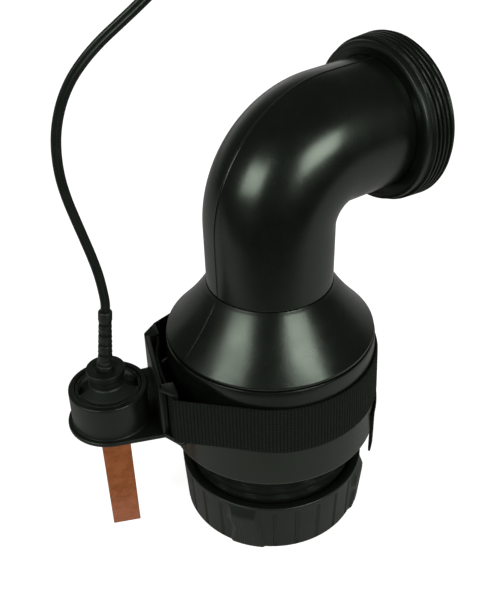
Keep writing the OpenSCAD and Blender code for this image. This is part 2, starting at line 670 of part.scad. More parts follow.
function tangent(i) = unit(LINE[min(i + 1, len(LINE) - 1)] - LINE[max(i - 1, 0)]);
function across(i) = unit(cross(tangent(i), FLAT_SIDE));

module cord_tube() {
    n = len(LINE);
    pts = [for (i = [0:n - 1]) for (k = [0:7])
        let (w = across(i), f = cross(w, tangent(i)), a = 22.5 + 45 * k)
        LINE[i] + (w * cord_w * cos(a) + f * cord_t * sin(a)) / 2 / cos(22.5)];
    side = [for (i = [0:n - 2]) for (k = [0:7])
        [8 * i + k, 8 * i + (k + 1) % 8, 8 * (i + 1) + (k + 1) % 8, 8 * (i + 1) + k]];
    caps = [[for (k = [7:-1:0]) k], [for (k = [0:7]) 8 * (n - 1) + k]];
    color([0.07, 0.07, 0.07]) polyhedron(pts,
        [for (f = concat(side, caps)) [for (j = [len(f) - 1:-1:0]) f[j]]], convexity = 8);
}

// puts +Z of the children along the cord's last direction, at its end
module at_cord_end() {
    d = tangent(len(LINE) - 1);
    translate(LINE[len(LINE) - 1]) rotate([0, acos(d[2]), atan2(d[1], d[0])]) children();
}

module connector_body() {
    color([0.07, 0.07, 0.07]) at_cord_end() difference() {
        turned([[0, 0.05], [3, 0.05], [3.4, 5], [plug_r - 0.6, 7], [plug_r, 8.5], [plug_r, plug_len - 7],
            [plug_r - 0.8, plug_len - 6.5], [plug_r - 0.8, plug_len], [0, plug_len]]);
        for (s = [-1, 1]) translate([s * 1.9, 0, plug_len - 9]) cylinder(r = 0.8 + SNUG, h = 10, $fn = 32);
    }
}

module connector_pins() {
    color([0.8, 0.68, 0.35]) at_cord_end() for (s = [-1, 1]) translate([s * 1.9, 0, plug_len - 9 + SNUG])
        union() {
            cylinder(r = 0.8, h = 13, $fn = 32);
            translate([0, 0, 13]) sphere(r = 0.8, $fn = 32);
        }
}

elbow_tube();
upper_cone();
outlet_collar();
valve_bowl();
seat_ring();
seat_oring();
flapper();
flapper_seal();
seal_washer();
seal_screw();
seal_nut();
hinge_pin();
pin_clips();
union_nut();
union_tailpiece();
union_oring();
probe_bracket();
probe_body();
gland_cap();
potting();
electrode_front();
electrode_rear();
terminal_lugs();
core_wires();
strain_relief();
strap_band();
strap_tail();
hook_tape();
cord_tube();
connector_body();
connector_pins();
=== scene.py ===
"""Discharge check valve elbow with a strapped-on electrode probe, as a small add-on run as a script."""
import math
import types

import bpy
import numpy as np
from mathutils import Matrix, Vector


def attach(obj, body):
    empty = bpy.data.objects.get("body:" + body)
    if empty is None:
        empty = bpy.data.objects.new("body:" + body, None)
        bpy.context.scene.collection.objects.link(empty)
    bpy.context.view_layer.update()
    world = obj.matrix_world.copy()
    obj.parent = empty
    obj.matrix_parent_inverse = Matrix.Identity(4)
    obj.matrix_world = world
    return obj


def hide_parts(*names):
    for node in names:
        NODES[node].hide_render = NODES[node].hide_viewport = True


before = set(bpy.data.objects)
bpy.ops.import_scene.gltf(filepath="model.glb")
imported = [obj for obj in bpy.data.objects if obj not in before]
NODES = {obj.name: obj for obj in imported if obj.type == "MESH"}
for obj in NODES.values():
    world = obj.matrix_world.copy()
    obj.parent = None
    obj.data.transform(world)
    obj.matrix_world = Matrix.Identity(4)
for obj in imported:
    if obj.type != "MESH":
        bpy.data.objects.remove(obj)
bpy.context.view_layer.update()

bl_info = {
    "name": "Check valve elbow",
    "version": (1, 0, 0),
    "blender": (4, 5, 0),
    "location": "View3D > Sidebar > Valve",
    "description": "Builds a check valve elbow with its union nut, webbing strap and electrode probe",
    "category": "Add Mesh",
}


# ---------- values and colours ----------
def linear(colour):
    """An sRGB hex value as linear red, green, blue and alpha."""
    parts = [int(colour[i:i + 2], 16) / 255 for i in (1, 3, 5)]
    return tuple(c / 12.92 if c <= 0.04045 else ((c + 0.055) / 1.055) ** 2.4 for c in parts) + (1.0,)


def length(name, text, mm):
    """A length property, given in millimetres and kept in metres."""
    return bpy.props.FloatProperty(name=name, description=text, default=mm / 1000, precision=5,
                                   unit="LENGTH", subtype="DISTANCE")


def turn(name, text, degrees):
    """An angle property, given in degrees and kept in radians."""
    return bpy.props.FloatProperty(name=name, description=text, default=math.radians(degrees),
                                   unit="ROTATION", subtype="ANGLE")


def paint(name, text, colour):
    """A colour property, given as an sRGB hex value and kept linear."""
    return bpy.props.FloatVectorProperty(name=name, description=text, default=linear(colour), size=4,
                                         min=0.0, max=1.0, subtype="COLOR")


def in_mm(group):
    """A group's lengths in millimetres and its angles in radians, under their own names."""
    found = {}
    for key, prop in group.bl_rna.properties.items():
        if prop.type == "FLOAT" and not prop.is_array:
            found[key] = getattr(group, key) * (1000 if prop.unit == "LENGTH" else 1)
    return types.SimpleNamespace(**found)


class HousingSizes(bpy.types.PropertyGroup):
    tube_r: length("Tube radius", "Outer radius of the elbow tube, halfway along it", 30.5)
    tube_taper: length("Tube taper", "How much the tube's radius grows from its foot to the collar", 0.8)
    pipe_bore_r: length("Bore radius", "Radius of the water way in the elbow", 26.3)
    bend_r: length("Bend radius", "Radius of the elbow's centre line", 32.4)
    outlet_z: length("Outlet height", "Height of the outlet's axis", 199.4)
    neck_z: length("Seam height", "Height of the seam between cone and tube", 137.6)
    neck_r: length("Neck radius", "Radius of the cone at the seam", 30.5)
    spigot_len: length("Spigot length", "Length of the tube's spigot inside the cone", 8)
    hollow: length("Cone hollow", "How far the cone's flank falls inside a straight line", 1.3)
    shoulder_z: length("Shoulder height", "Height of the joint between cone and bowl", 109.2)
    rib_h: length("Parting rib", "Height of the rib that the mould's parting leaves", 0.35)
    wall: length("Wall", "Wall of the bowl and cone", 3.6)
    bowl_rim_r: length("Bowl rim radius", "Outer radius of the bowl at its rim", 51.2)
    bowl_foot_r: length("Bowl foot radius", "Outer radius of the bowl at its foot", 53.3)
    bowl_foot_z: length("Bowl foot height", "Height of the bowl's foot", 53.8)


class CollarSizes(bpy.types.PropertyGroup):
    back_x: length("Back face", "Distance of the collar's back face from the body's axis", 58.8)
    deep: length("Length", "Length of the collar", 16.6)
    crest_r: length("Crest radius", "Radius of the outlet thread's crests", 38.8)
    thread_h: length("Thread depth", "Depth of the outlet thread", 1.3)
    pitch: length("Pitch", "Pitch of the outlet thread", 2.31)
    mouth_r: length("Mouth radius", "Radius of the pocket in the mouth", 31.6)
    mouth_deep: length("Mouth depth", "Depth of the pocket in the mouth", 7)


class UnionSizes(bpy.types.PropertyGroup):
    root_r: length("Root radius", "Root radius of the thread on the bowl's neck", 41)
    thread_h: length("Thread depth", "Depth of the union thread", 1.7)
    pitch: length("Pitch", "Pitch of the union thread", 6)
    neck_foot_z: length("Neck foot", "Height of the neck's lower end", 13.1)
    nut_h: length("Nut height", "Height of the nut", 29.8)
    top_r: length("Nut top radius", "Outer radius of the nut at its top rim", 47.9)
    foot_r: length("Nut foot radius", "Outer radius of the nut at its foot", 46.4)
    bore_r: length("Nut bore radius", "Radius of the nut's bore", 43.05)
    eye_r: length("Nut eye radius", "Radius of the hole in the nut's floor", 35.9)
    lip_h: length("Nut floor", "Thickness of the nut's floor", 5.2)
    lug_turn: turn("Lug turn", "Turn of the first grip lug about the body's axis", 37.4)


class BracketSizes(bpy.types.PropertyGroup):
    cup_az: turn("Cup direction", "Direction of the cup from the body's axis", 161.5)
    cup_dist: length("Cup distance", "Distance of the cup's axis from the body's axis", 82.3)
    rim_r: length("Cup rim radius", "Outer radius of the cup at its rim", 19)
    foot_r: length("Cup foot radius", "Outer radius of the cup at its foot", 19.1)
    bore_r: length("Cup bore", "Inner radius of the cup", 16.1)
    under_z: length("Underside", "Height of the bracket's underside", 72.5)
    plate_t: length("Plate", "Thickness of the base plate", 2.4)
    cup_h: length("Cup height", "Height of the cup's rim above the underside", 21)
    wall_x: length("Strap wall", "Distance of the strap wall's inner face from the body's axis", 59.5)
    wall_t: length("Strap wall thickness", "Thickness of the strap wall", 2.4)


class ProbeSizes(bpy.types.PropertyGroup):
    body_r: length("Probe radius", "Radius of the probe body", 15.9)
    gland_r: length("Gland radius", "Radius of the gland cap", 9.2)
    gland_h: length("Gland height", "Height of the gland cap", 5.2)
    probe_turn: turn("Probe turn", "Turn of the probe in its cup", -5.7)
    bar_w: length("Bar width", "Width of an electrode bar", 14)
    bar_t: length("Bar thickness", "Thickness of an electrode bar", 3)
    bar_pitch: length("Bar spacing", "Distance between the two bars' middles", 14.8)
    bar_foot_z: length("Bar foot", "Height of the bars' lower ends", 7.4)
    boot_len: length("Sleeve length", "Length of the ribbed strain relief", 32)
    boot_lean: turn("Sleeve lean", "Lean of the strain relief towards the body", 6.5)
    cord_w: length("Cord width", "Width of the flat two-core cord", 4.4)
    cord_t: length("Cord thickness", "Thickness of the flat two-core cord", 2.6)
    plug_len: length("Connector length", "Length of the connector's body", 24)
    plug_r: length("Connector radius", "Radius of the connector's body", 5)


class StrapSizes(bpy.types.PropertyGroup):
    wide: length("Width", "Width of the webbing", 25.4)
    thick: length("Thickness", "Thickness of the webbing", 1.5)
    low_z: length("Lower edge", "Height of the webbing's lower edge", 75.4)
    tail_drop: length("Tail drop", "How far the loose tail drops below the band", 36)
    rib_pitch: length("Rib pitch", "Spacing of the webbing's woven ribs", 1.65)


class FinishColours(bpy.types.PropertyGroup):
    body: paint("Body", "Black ABS of the housing", "#080b07")
    fittings: paint("Fittings", "Black polypropylene of the nut and bracket", "#0b0e0a")
    copper: paint("Copper", "Rolled copper of the electrodes", "#cb7c4e")
    # the dyed yarn's colour as it shows in the gaps of the weave, darkened there as painted shade
    webbing: paint("Webbing", "Dyed polypropylene yarn", "#040504")
    floor: paint("Floor", "Painted floor", "#bcbcba")


def group(name):
    """One of the scene's property groups, in millimetres."""
    return in_mm(getattr(bpy.context.scene, name))


# ---------- surfaces ----------
def shell(points, wrap_rows=False, poles=(False, False)):
    """A surface through a grid of points, closed round its columns, and along its rows where asked.
    A pole closes the first or last row on the mean of its points. Faces are turned outwards
    by the sign of the volume, the sum of v0 . (v1 x v2) / 6 over the triangles."""
    rows, columns = points.shape[:2]
    verts = points.reshape(-1, 3)
    index = np.arange(rows * columns).reshape(rows, columns)
    if wrap_rows:
        index = np.vstack([index, index[:1]])
    index = np.hstack([index, index[:, :1]])
    quads = np.stack([index[:-1, :-1], index[1:, :-1], index[1:, 1:], index[:-1, 1:]], -1).reshape(-1, 4)
    faces = [quads]
    ring = np.arange(columns)
    after = (ring + 1) % columns
    for end, row in ((0, 0), (1, rows - 1)):
        if poles[end]:
            middle = np.full(columns, len(verts))
            verts = np.vstack([verts, points[row].mean(0)])
            pair = (ring, after) if end == 0 else (after, ring)
            faces.append(np.stack([row * columns + pair[0], row * columns + pair[1], middle], -1))
    return outwards(verts, faces)


def outwards(verts, faces):
    """Turns the faces of a closed shell outwards."""
    volume = 0.0
    for f in faces:
        for k in range(1, f.shape[1] - 1):
            volume += np.einsum("ij,ij->", verts[f[:, 0]], np.cross(verts[f[:, k]], verts[f[:, k + 1]]))
    return verts, faces if volume > 0 else [f[:, ::-1] for f in faces]


def turned(profile, columns, offset=None):
    """A profile of (radius, height) points turned about Z: x = r cos a, y = r sin a, z = z,
    where offset(r, z, a) adds to the radius."""
    profile = np.asarray(profile, float)
    r = profile[:, :1] + 0 * columns[None, :]
    z = profile[:, 1:2] + 0 * columns[None, :]
    a = columns[None, :] + 0 * r
    if offset is not None:
        r = r + offset(r, z, a)
    return np.stack([r * np.cos(a), r * np.sin(a), z], -1)


def around(n):
    """n even angles round a full turn."""
    return np.linspace(0, 2 * np.pi, n, endpoint=False)


def around_with(n, places, spread):
    """n even angles round a full turn, with extra ones at each place plus or minus the spread values."""
    extra = (np.asarray(places)[:, None] + np.asarray(spread)[None, :]).ravel() % (2 * np.pi)
    every = np.sort(np.concatenate([around(n), extra]))
    keep = np.append(np.diff(every) > 1e-4, True)
    return every[keep]


def rounded(points, radius, steps=4):
    """A closed outline with each corner replaced by a quadratic curve that starts and ends
    radius away from it, or less where its sides are short."""
    p = np.asarray(points, float)
    before, behind = np.roll(p, 1, 0) - p, np.roll(p, -1, 0) - p
    la = np.linalg.norm(before, axis=1)
    lb = np.linalg.norm(behind, axis=1)
    d = np.minimum(np.asarray(radius, float), 0.45 * np.minimum(la, lb))[:, None]
    first = (p + before / la[:, None] * d)[:, None]
    last = (p + behind / lb[:, None] * d)[:, None]
    t = np.linspace(0, 1, steps + 1)[None, :, None]
    return ((1 - t) ** 2 * first + 2 * t * (1 - t) * p[:, None] + t * t * last).reshape(-1, p.shape[1])


def denser(points, spacing):
    """A closed line with points added along its longer parts, by length along the line."""
    p = np.vstack([points, points[:1]])
    s = np.append(0, np.cumsum(np.linalg.norm(np.diff(p, axis=0), axis=1)))
    every = np.sort(np.append(s, np.arange(0, s[-1], spacing)))
    every = every[np.append(np.diff(every) > 0.02, False)]
    return np.stack([np.interp(every, s, p[:, k]) for k in range(p.shape[1])], -1)


def slab(outline, z0, z1, edge=0.6, steps=3):
    """An upright plate: an anticlockwise plan outline carried from z0 to z1. Each rim is a
    quarter round, inset = edge (1 - sin a) at a height edge (1 - cos a) from the face."""
    p = np.asarray(outline, float)
    ahead = np.roll(p, -1, 0) - p
    ahead /= np.linalg.norm(ahead, axis=1)[:, None]
    side = np.stack([ahead[:, 1], -ahead[:, 0]], -1)
    both = side + np.roll(side, 1, 0)
    out = both / np.maximum(np.einsum("ij,ij->i", both, side), 0.4)[:, None]
    a = np.linspace(0, np.pi / 2, steps + 1)
    inset = np.append(edge * (1 - np.sin(a)), edge * (1 - np.sin(a[::-1])))
    z = np.append(z0 + edge * (1 - np.cos(a)), z1 - edge * (1 - np.cos(a[::-1])))
    plan = p[None] - out[None] * inset[:, None, None]
    points = np.concatenate([plan, np.broadcast_to(z[:, None, None], plan.shape[:2] + (1,))], -1)
    verts, faces = shell(points)
    n = len(p)
    ring = np.arange(n)
    last = (len(z) - 1) * n
    # the plate's two faces as single polygons, in the sense that its sides ended up in
    up = faces[0][0][1] - faces[0][0][0] == n
    floor = ring if up else ring[::-1]
    lid = (last + ring)[::-1] if up else last + ring
    flat = [floor[None, :], lid[None, :]]
    test = verts[flat[1][0]]
    area = np.sum(test[:, 0] * np.roll(test[:, 1], -1) - np.roll(test[:, 0], -1) * test[:, 1])
    if area < 0:
        flat = [f[:, ::-1] for f in flat]
    return verts, faces + flat


def spun(part, angle, shift=(0, 0, 0)):
    """A part turned about Z after a shift."""
    verts, faces = part
    c, s = np.cos(angle), np.sin(angle)
    moved = verts + np.asarray(shift, float)
    return moved @ np.array([[c, s, 0], [-s, c, 0], [0, 0, 1]]), faces


def tube_along(path, ups, section):
    """A section of (across, up) points carried along a path, with both ends closed. Across is the
    path's direction times up, made square to both."""
    ahead = np.gradient(path, axis=0)
    ahead /= np.linalg.norm(ahead, axis=1)[:, None]
    across = np.cross(ahead, ups)
    across /= np.linalg.norm(across, axis=1)[:, None]
    up = np.cross(across, ahead)
    points = path[:, None] + across[:, None] * section[..., :1] + up[:, None] * section[..., 1:]
    return shell(points, poles=(True, True))


def piece(name, parts, material, body, nodes=(), crease=32.0, uv=None):
    """Makes one object of several shells, in metres, with its place in its mesh."""
    verts = np.concatenate([p[0] for p in parts])
    faces, start = [], 0
    for v, f in parts:
        for block in f:
            faces += (block + start).tolist()
        start += len(v)
    mesh = bpy.data.meshes.new(name)
    mesh.from_pydata((verts / 1000).tolist(), [], faces)
    mesh.update()
    mesh.shade_smooth()
    mesh.set_sharp_from_angle(angle=math.radians(crease))
    if uv is not None:
        layer = mesh.uv_layers.new(name="cloth")
        corner = np.empty(len(mesh.loops), int)
        mesh.loops.foreach_get("vertex_index", corner)
        layer.data.foreach_set("uv", uv[corner].astype(np.float32).ravel())
    mesh.materials.append(material)
    made = bpy.data.objects.new(name, mesh)
    bpy.context.scene.collection.objects.link(made)
    if nodes:
        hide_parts(*nodes)
    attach(made, body)
    return made


# ---------- materials ----------
# the lights' faint green cast, painted into the reflections of plastic, rubber and cloth as a tint
GREEN_CAST = (0.84, 1.0, 0.82, 1.0)


def add(tree, kind, sockets=(), **settings):
    """Adds a node. Settings are its own fields; sockets pair an input with a value or an output."""
    made = tree.nodes.new(kind)
    for key, value in settings.items():
        setattr(made, key, value)
    for key, value in dict(sockets).items():
        if isinstance(value, bpy.types.NodeSocket):
            tree.links.new(value, made.inputs[key])
        else:
            made.inputs[key].default_value = value
    return made


def start_material(name):
    """An empty material with its shader, its output and its object coordinates."""
    made = bpy.data.materials.new(name)
    made.use_nodes = True
    tree = made.node_tree
    tree.nodes.clear()
    shader = add(tree, "ShaderNodeBsdfPrincipled")
    add(tree, "ShaderNodeOutputMaterial", {"Surface": shader.outputs[0]})
    place = add(tree, "ShaderNodeTexCoord")
    return made, tree, shader, place.outputs["Object"]


def between(tree, value, low, high, lo, hi):
    """A value's range low to high carried to lo to hi, and clamped."""
    return add(tree, "ShaderNodeMapRange", {0: value, 1: low, 2: high, 3: lo, 4: hi}).outputs[0]


def noise(tree, place, size_mm, detail=3.0, rough=0.5, stretch=None):
    """Noise whose patches are about size_mm across, stretched by a factor for each axis where given."""
    if stretch is not None:
        place = add(tree, "ShaderNodeMapping", {"Vector": place, "Scale": stretch}).outputs[0]
    return add(tree, "ShaderNodeTexNoise", {"Vector": place, "Scale": 1000 / size_mm, "Detail": detail,
                                            "Roughness": rough}).outputs[0]


def mixed(tree, factor, one, two):
    """Two colours mixed by a factor."""
    return add(tree, "ShaderNodeMix", {0: factor, 6: one, 7: two}, data_type="RGBA").outputs[2]


def times(tree, one, two, kind="MULTIPLY"):
    """Two numbers put together by one sum."""
    return add(tree, "ShaderNodeMath", {0: one, 1: two}, operation=kind).outputs[0]


def bump(tree, height, mm, under=None):
    """A bump whose height of 1 stands mm proud."""
    sockets = {"Height": height, "Distance": mm / 1000, "Strength": 1.0}
    if under is not None:
        sockets["Normal"] = under
    return add(tree, "ShaderNodeBump", sockets).outputs[0]


def moulded(name, colour, dusty, gloss, grain_mm, grain_h, scuffs=0.0, ior=1.46, ripple=0.0):
    """Injection-moulded plastic: near-black body, a satin skin whose gloss drifts over some 20 mm,
    a faint moulding grain, grey dust in broad patches, fine rubbed scuffs where asked, and a ripple
    of the skin some 13 mm wide, of the given height, that breaks up the edges of its highlights."""
    made, tree, shader, place = start_material(name)
    drift = noise(tree, place, 22, 3)
    patch = between(tree, noise(tree, place, 9, 5, 0.65), 0.5, 0.78, 0, 0.5)
    tint = mixed(tree, patch, tuple(colour), linear(dusty))
    level = between(tree, drift, 0.3, 0.7, gloss - 0.05, gloss + 0.07)
    grain = noise(tree, place, grain_mm, 2)
    normal = bump(tree, grain, grain_h, under=bump(tree, noise(tree, place, 13, 2), ripple))
    if scuffs > 0:
        # thin arcs where the noise crosses its middle, broken up by a second noise
        line = noise(tree, place, 24, 5, 0.75, (1, 1, 0.3))
        thin = between(tree, add(tree, "ShaderNodeMath", {0: times(tree, line, 0.5, "SUBTRACT")},
                                 operation="ABSOLUTE").outputs[0], 0.0, 0.0022, 1, 0)
        broken = between(tree, noise(tree, place, 5, 2), 0.6, 0.72, 0, scuffs)
        mark = times(tree, thin, broken)
        tint = mixed(tree, times(tree, mark, 0.3), tint, linear("#4a5048"))
        level = times(tree, level, times(tree, mark, 0.16), "ADD")
    tree.links.new(tint, shader.inputs["Base Color"])
    tree.links.new(level, shader.inputs["Roughness"])
    tree.links.new(normal, shader.inputs["Normal"])
    shader.inputs["IOR"].default_value = ior
    shader.inputs["Specular Tint"].default_value = GREEN_CAST
    return made


def rubber(name, colour, gloss):
    """Moulded rubber: a soft matt skin with a fine grain and pale bloom in the hollows."""
    made, tree, shader, place = start_material(name)
    bloom = between(tree, noise(tree, place, 6, 4, 0.6), 0.45, 0.75, 0, 0.5)
    tree.links.new(mixed(tree, bloom, linear(colour), linear("#23261f")), shader.inputs["Base Color"])
    tree.links.new(between(tree, noise(tree, place, 3), 0.3, 0.7, gloss - 0.05, gloss + 0.08),
                   shader.inputs["Roughness"])
    tree.links.new(bump(tree, noise(tree, place, 0.5, 2), 0.03), shader.inputs["Normal"])
    shader.inputs["IOR"].default_value = 1.5
    shader.inputs["Specular Tint"].default_value = GREEN_CAST
    return made


def dull(name, colour, gloss, level):
    """Unpolished moulded plastic: matt, with hardly any reflection and a grain of some 0.8 mm. On the neck's
    thread the turned-down reflection is painted shade.
    """
    made, tree, shader, place = start_material(name)
    patch = between(tree, noise(tree, place, 5, 4, 0.6), 0.4, 0.75, 0, 0.5)
    tree.links.new(mixed(tree, patch, linear(colour), linear("#141813")), shader.inputs["Base Color"])
    tree.links.new(between(tree, noise(tree, place, 3), 0.3, 0.7, gloss - 0.05, gloss + 0.1),
                   shader.inputs["Roughness"])
    tree.links.new(bump(tree, noise(tree, place, 0.8, 2), 0.03), shader.inputs["Normal"])
    # a low level turns the reflection down; on the neck's thread this stands in as painted shade for the
    # recess
    shader.inputs["Specular IOR Level"].default_value = level
    shader.inputs["Specular Tint"].default_value = GREEN_CAST
    return made


def rolled_copper(name, colour):
    """Rolled copper bar: fine rolling lines down its length, brown oxide in patches, a pinker and
    brighter worn foot, and a few darker specks."""
    made, tree, shader, place = start_material(name)
    lines = noise(tree, place, 0.5, 3, 0.6, (1, 1, 0.05))
    oxide = noise(tree, place, 5, 5, 0.65)
    height = add(tree, "ShaderNodeSeparateXYZ", {0: place}).outputs[2]
    foot = between(tree, times(tree, height, between(tree, oxide, 0.3, 0.7, -0.009, 0.009), "ADD"),
                   0.012, 0.034, 1, 0)
    brown = mixed(tree, between(tree, oxide, 0.38, 0.66, 0, 1), tuple(colour), linear("#b36a3e"))
    bright = mixed(tree, times(tree, foot, 0.85), brown, linear("#e0906c"))
    speck = between(tree, noise(tree, place, 1.1, 2), 0.68, 0.74, 0, 0.45)
    tree.links.new(mixed(tree, speck, bright, linear("#5b3320")), shader.inputs["Base Color"])
    tree.links.new(between(tree, oxide, 0.35, 0.7, 0.3, 0.46), shader.inputs["Roughness"])
    tree.links.new(bump(tree, lines, 0.02), shader.inputs["Normal"])
    shader.inputs["Metallic"].default_value = 1.0
    return made


def bright_metal(name, colour, gloss, line_mm, stretch):
    """Machined or stamped metal: tool lines in one direction and a drifting polish."""
    made, tree, shader, place = start_material(name)
    lines = noise(tree, place, line_mm, 2, 0.5, stretch)
    tree.links.new(mixed(tree, between(tree, lines, 0.3, 0.7, 0, 0.35), linear(colour), linear("#6d6a64")),
                   shader.inputs["Base Color"])
    tree.links.new(between(tree, noise(tree, place, 4), 0.3, 0.7, gloss - 0.05, gloss + 0.1),
                   shader.inputs["Roughness"])
    tree.links.new(bump(tree, lines, 0.01), shader.inputs["Normal"])
    shader.inputs["Metallic"].default_value = 1.0
    return made


def woven(name, colour, rib_mm, row_mm, crown):
    """Woven polypropylene webbing: painted shade in the gaps between crowns that stand rib_mm apart along it
    and row_mm across it, each crown painted a little paler as a highlight and made shinier, and short loose
    fibres that catch the light. The pattern lies on the webbing's own UV map, in millimetres along and
    across."""
    made, tree, shader, place = start_material(name)
    cloth = add(tree, "ShaderNodeSeparateXYZ", {0: add(tree, "ShaderNodeUVMap", uv_map="cloth").outputs[0]})
    along = add(tree, "ShaderNodeMath", {0: times(tree, cloth.outputs[0], math.pi / rib_mm)},
                operation="COSINE")
    over = add(tree, "ShaderNodeMath", {0: times(tree, cloth.outputs[1], math.pi / row_mm)},
               operation="COSINE")
    high = add(tree, "ShaderNodeMath", {0: times(tree, along.outputs[0], over.outputs[0])},
               operation="ABSOLUTE").outputs[0]
    uneven = noise(tree, place, 2.4, 3, 0.6)
    # the crown height sets the colour: the dark colour in the gaps is painted shade, the paler crown colour a
    # painted highlight
    level = times(tree, high, between(tree, uneven, 0.3, 0.7, 0.5, 1.0))
    tint = mixed(tree, level, tuple(colour), linear(crown))
    fibre = between(tree, noise(tree, place, 0.4, 4, 0.7), 0.64, 0.76, 0, 0.35)
    tree.links.new(mixed(tree, fibre, tint, linear("#3c4038")), shader.inputs["Base Color"])
    tree.links.new(between(tree, high, 0, 1, 0.8, 0.5), shader.inputs["Roughness"])
    tree.links.new(bump(tree, high, 0.3, under=bump(tree, noise(tree, place, 0.35, 3), 0.05)),
                   shader.inputs["Normal"])
    shader.inputs["Sheen Weight"].default_value = 0.01
    shader.inputs["Specular IOR Level"].default_value = 0.16
    shader.inputs["Specular Tint"].default_value = GREEN_CAST
    return made


MATERIALS = {}
# spacing of the webbing's rows across its width, in millimetres
ROW_PITCH = 1.15


def finish_of(key):
    """The material for a finish, made once."""
    if key in MATERIALS:
        return MATERIALS[key]
    colours = bpy.context.scene.valve_colours
    makers = {
        # satin ABS: soft-edged highlights, a pale rim at grazing view
        "black_abs": lambda: moulded("moulded black ABS", colours.body, "#10140f", 0.255, 0.9, 0.006,
                                     0.5, 1.56, 0.07),
        # the threaded ring: the same ABS with a rubbed, duller skin
        "rubbed_abs": lambda: moulded("rubbed black ABS", colours.body, "#10140f", 0.38, 0.8, 0.012,
                                      0.3, 1.5),
        # polypropylene: a little duller and waxier, with a coarser mould texture
        "black_pp": lambda: moulded("moulded black polypropylene", colours.fittings, "#151912", 0.36, 0.7,
                                    0.02, 0.4, 1.49),
        # the probe's cap: the same plastic from an etched mould, so it has no sharp glints
        "matt_pp": lambda: moulded("matt black polypropylene", colours.fittings, "#151912", 0.5, 0.6,
                                   0.02, 0.0, 1.47),
        # the neck's thread in the recess under the bowl: the bowl's ABS made matt, with its reflection turned
        # down as painted shade
        "thread_abs": lambda: dull("black ABS with painted recess shade", "#0a0d0a", 0.52, 0.18),
        # plain grey pipe fitting: an even satin grey
        "grey_pvc": lambda: moulded("moulded dark grey PVC", linear("#3b3d3f"), "#4c4e4f", 0.34, 0.8, 0.01),
        # acetal: paler than the housing, slightly waxy
        "flapper_plastic": lambda: moulded("moulded grey acetal", linear("#55585a"), "#66696a", 0.36, 0.7,
                                           0.015, 0.0, 1.48),
        # rubber: matt, with a pale bloom
        "nitrile": lambda: rubber("moulded nitrile rubber", "#141513", 0.5),
        "boot_rubber": lambda: rubber("moulded sleeve rubber", "#101210", 0.42),
        # small metal parts: bright, with the tool's lines across them
        "stainless": lambda: bright_metal("turned stainless steel", "#bdbdbf", 0.24, 0.3, (1, 1, 6)),
        "tinned_brass": lambda: bright_metal("stamped tinned brass", "#d8c58a", 0.28, 0.4, (4, 1, 1)),
        # bare bar stock, browned by air and worn pink where it stands in water
        "copper": lambda: rolled_copper("rolled tarnished copper", colours.copper),
        # the cores' smooth red skin
        "core_insulation": lambda: moulded("extruded red PVC insulation", linear("#7a1616"), "#8c2b22", 0.4,
                                           0.5, 0.01),
        # poured resin: glossy, dark, with a slow ripple
        "resin": lambda: moulded("cast dark epoxy", linear("#2b2926"), "#34322e", 0.2, 3.0, 0.05),
        # soft cord jacket: a long satin streak down each core
        "cord_pvc": lambda: moulded("extruded black PVC", linear("#101310"), "#20231e", 0.36, 0.5, 0.01, 0.4),
        # dull black cloth, with painted shade between its rows of small crowns and a painted highlight on
        # each crown
        "webbing": lambda: woven("woven polypropylene webbing", colours.webbing,
                                 group("valve_strap").rib_pitch, ROW_PITCH, "#161d15"),
        # a dense pile of tiny hooks, dead matt
        "hook_nylon": lambda: dull("moulded nylon hook tape", "#0c0d0b", 0.6, 0.3),
    }
    MATERIALS[key] = makers[key]()
    return MATERIALS[key]


# ---------- the housing ----------
# where a parting rib needs columns of points, in millimetres either side of its middle
RIB_COLUMNS = np.array([-1.6, -1.0, -0.62, -0.42, -0.24, -0.1, 0, 0.1, 0.24, 0.42, 0.62, 1.0, 1.6])
# radius at which the cone's rib is spread, about its middle height
CONE_MID_R = 40


def elbow_rings(s, r, h):
    """Rings of the elbow at distances s along its centre line, upright, then a quarter circle of
    radius R, then level. The angle of bend is t = (s - L) / R held between 0 and 90 degrees, the ring's
    middle is (R (1 - cos t) + rest, 0, z + R sin t), and its outer side is (-cos t, 0, sin t)."""
    lift = h.outlet_z - h.bend_r - h.neck_z
    t = np.clip((s - lift) / h.bend_r, 0, np.pi / 2)
    rest = np.maximum(s - lift - h.bend_r * np.pi / 2, 0)
    middle = np.stack([h.bend_r * (1 - np.cos(t)) + rest, 0 * t,
                       h.neck_z + np.minimum(s, lift) + h.bend_r * np.sin(t)], -1)
    outer = np.stack([-np.cos(t), 0 * t, np.sin(t)], -1)
    a = around_with(132, (0, np.pi), RIB_COLUMNS / h.tube_r)
    from_line = np.abs((a + np.pi / 2) % np.pi - np.pi / 2) * h.tube_r
    rib = h.rib_h * np.exp(-(from_line / 0.42) ** 4)
    bold = np.clip(np.minimum(s - 0.6, s.max() - 2 - s) / 2, 0, 1) * (r > h.pipe_bore_r + 2)
    size = r[:, None] + rib[None] * bold[:, None]
    return (middle[:, None] + size[..., None] * (np.cos(a)[None, :, None] * outer[:, None]
                                                 + np.sin(a)[None, :, None] * np.array([0.0, 1.0, 0.0])))


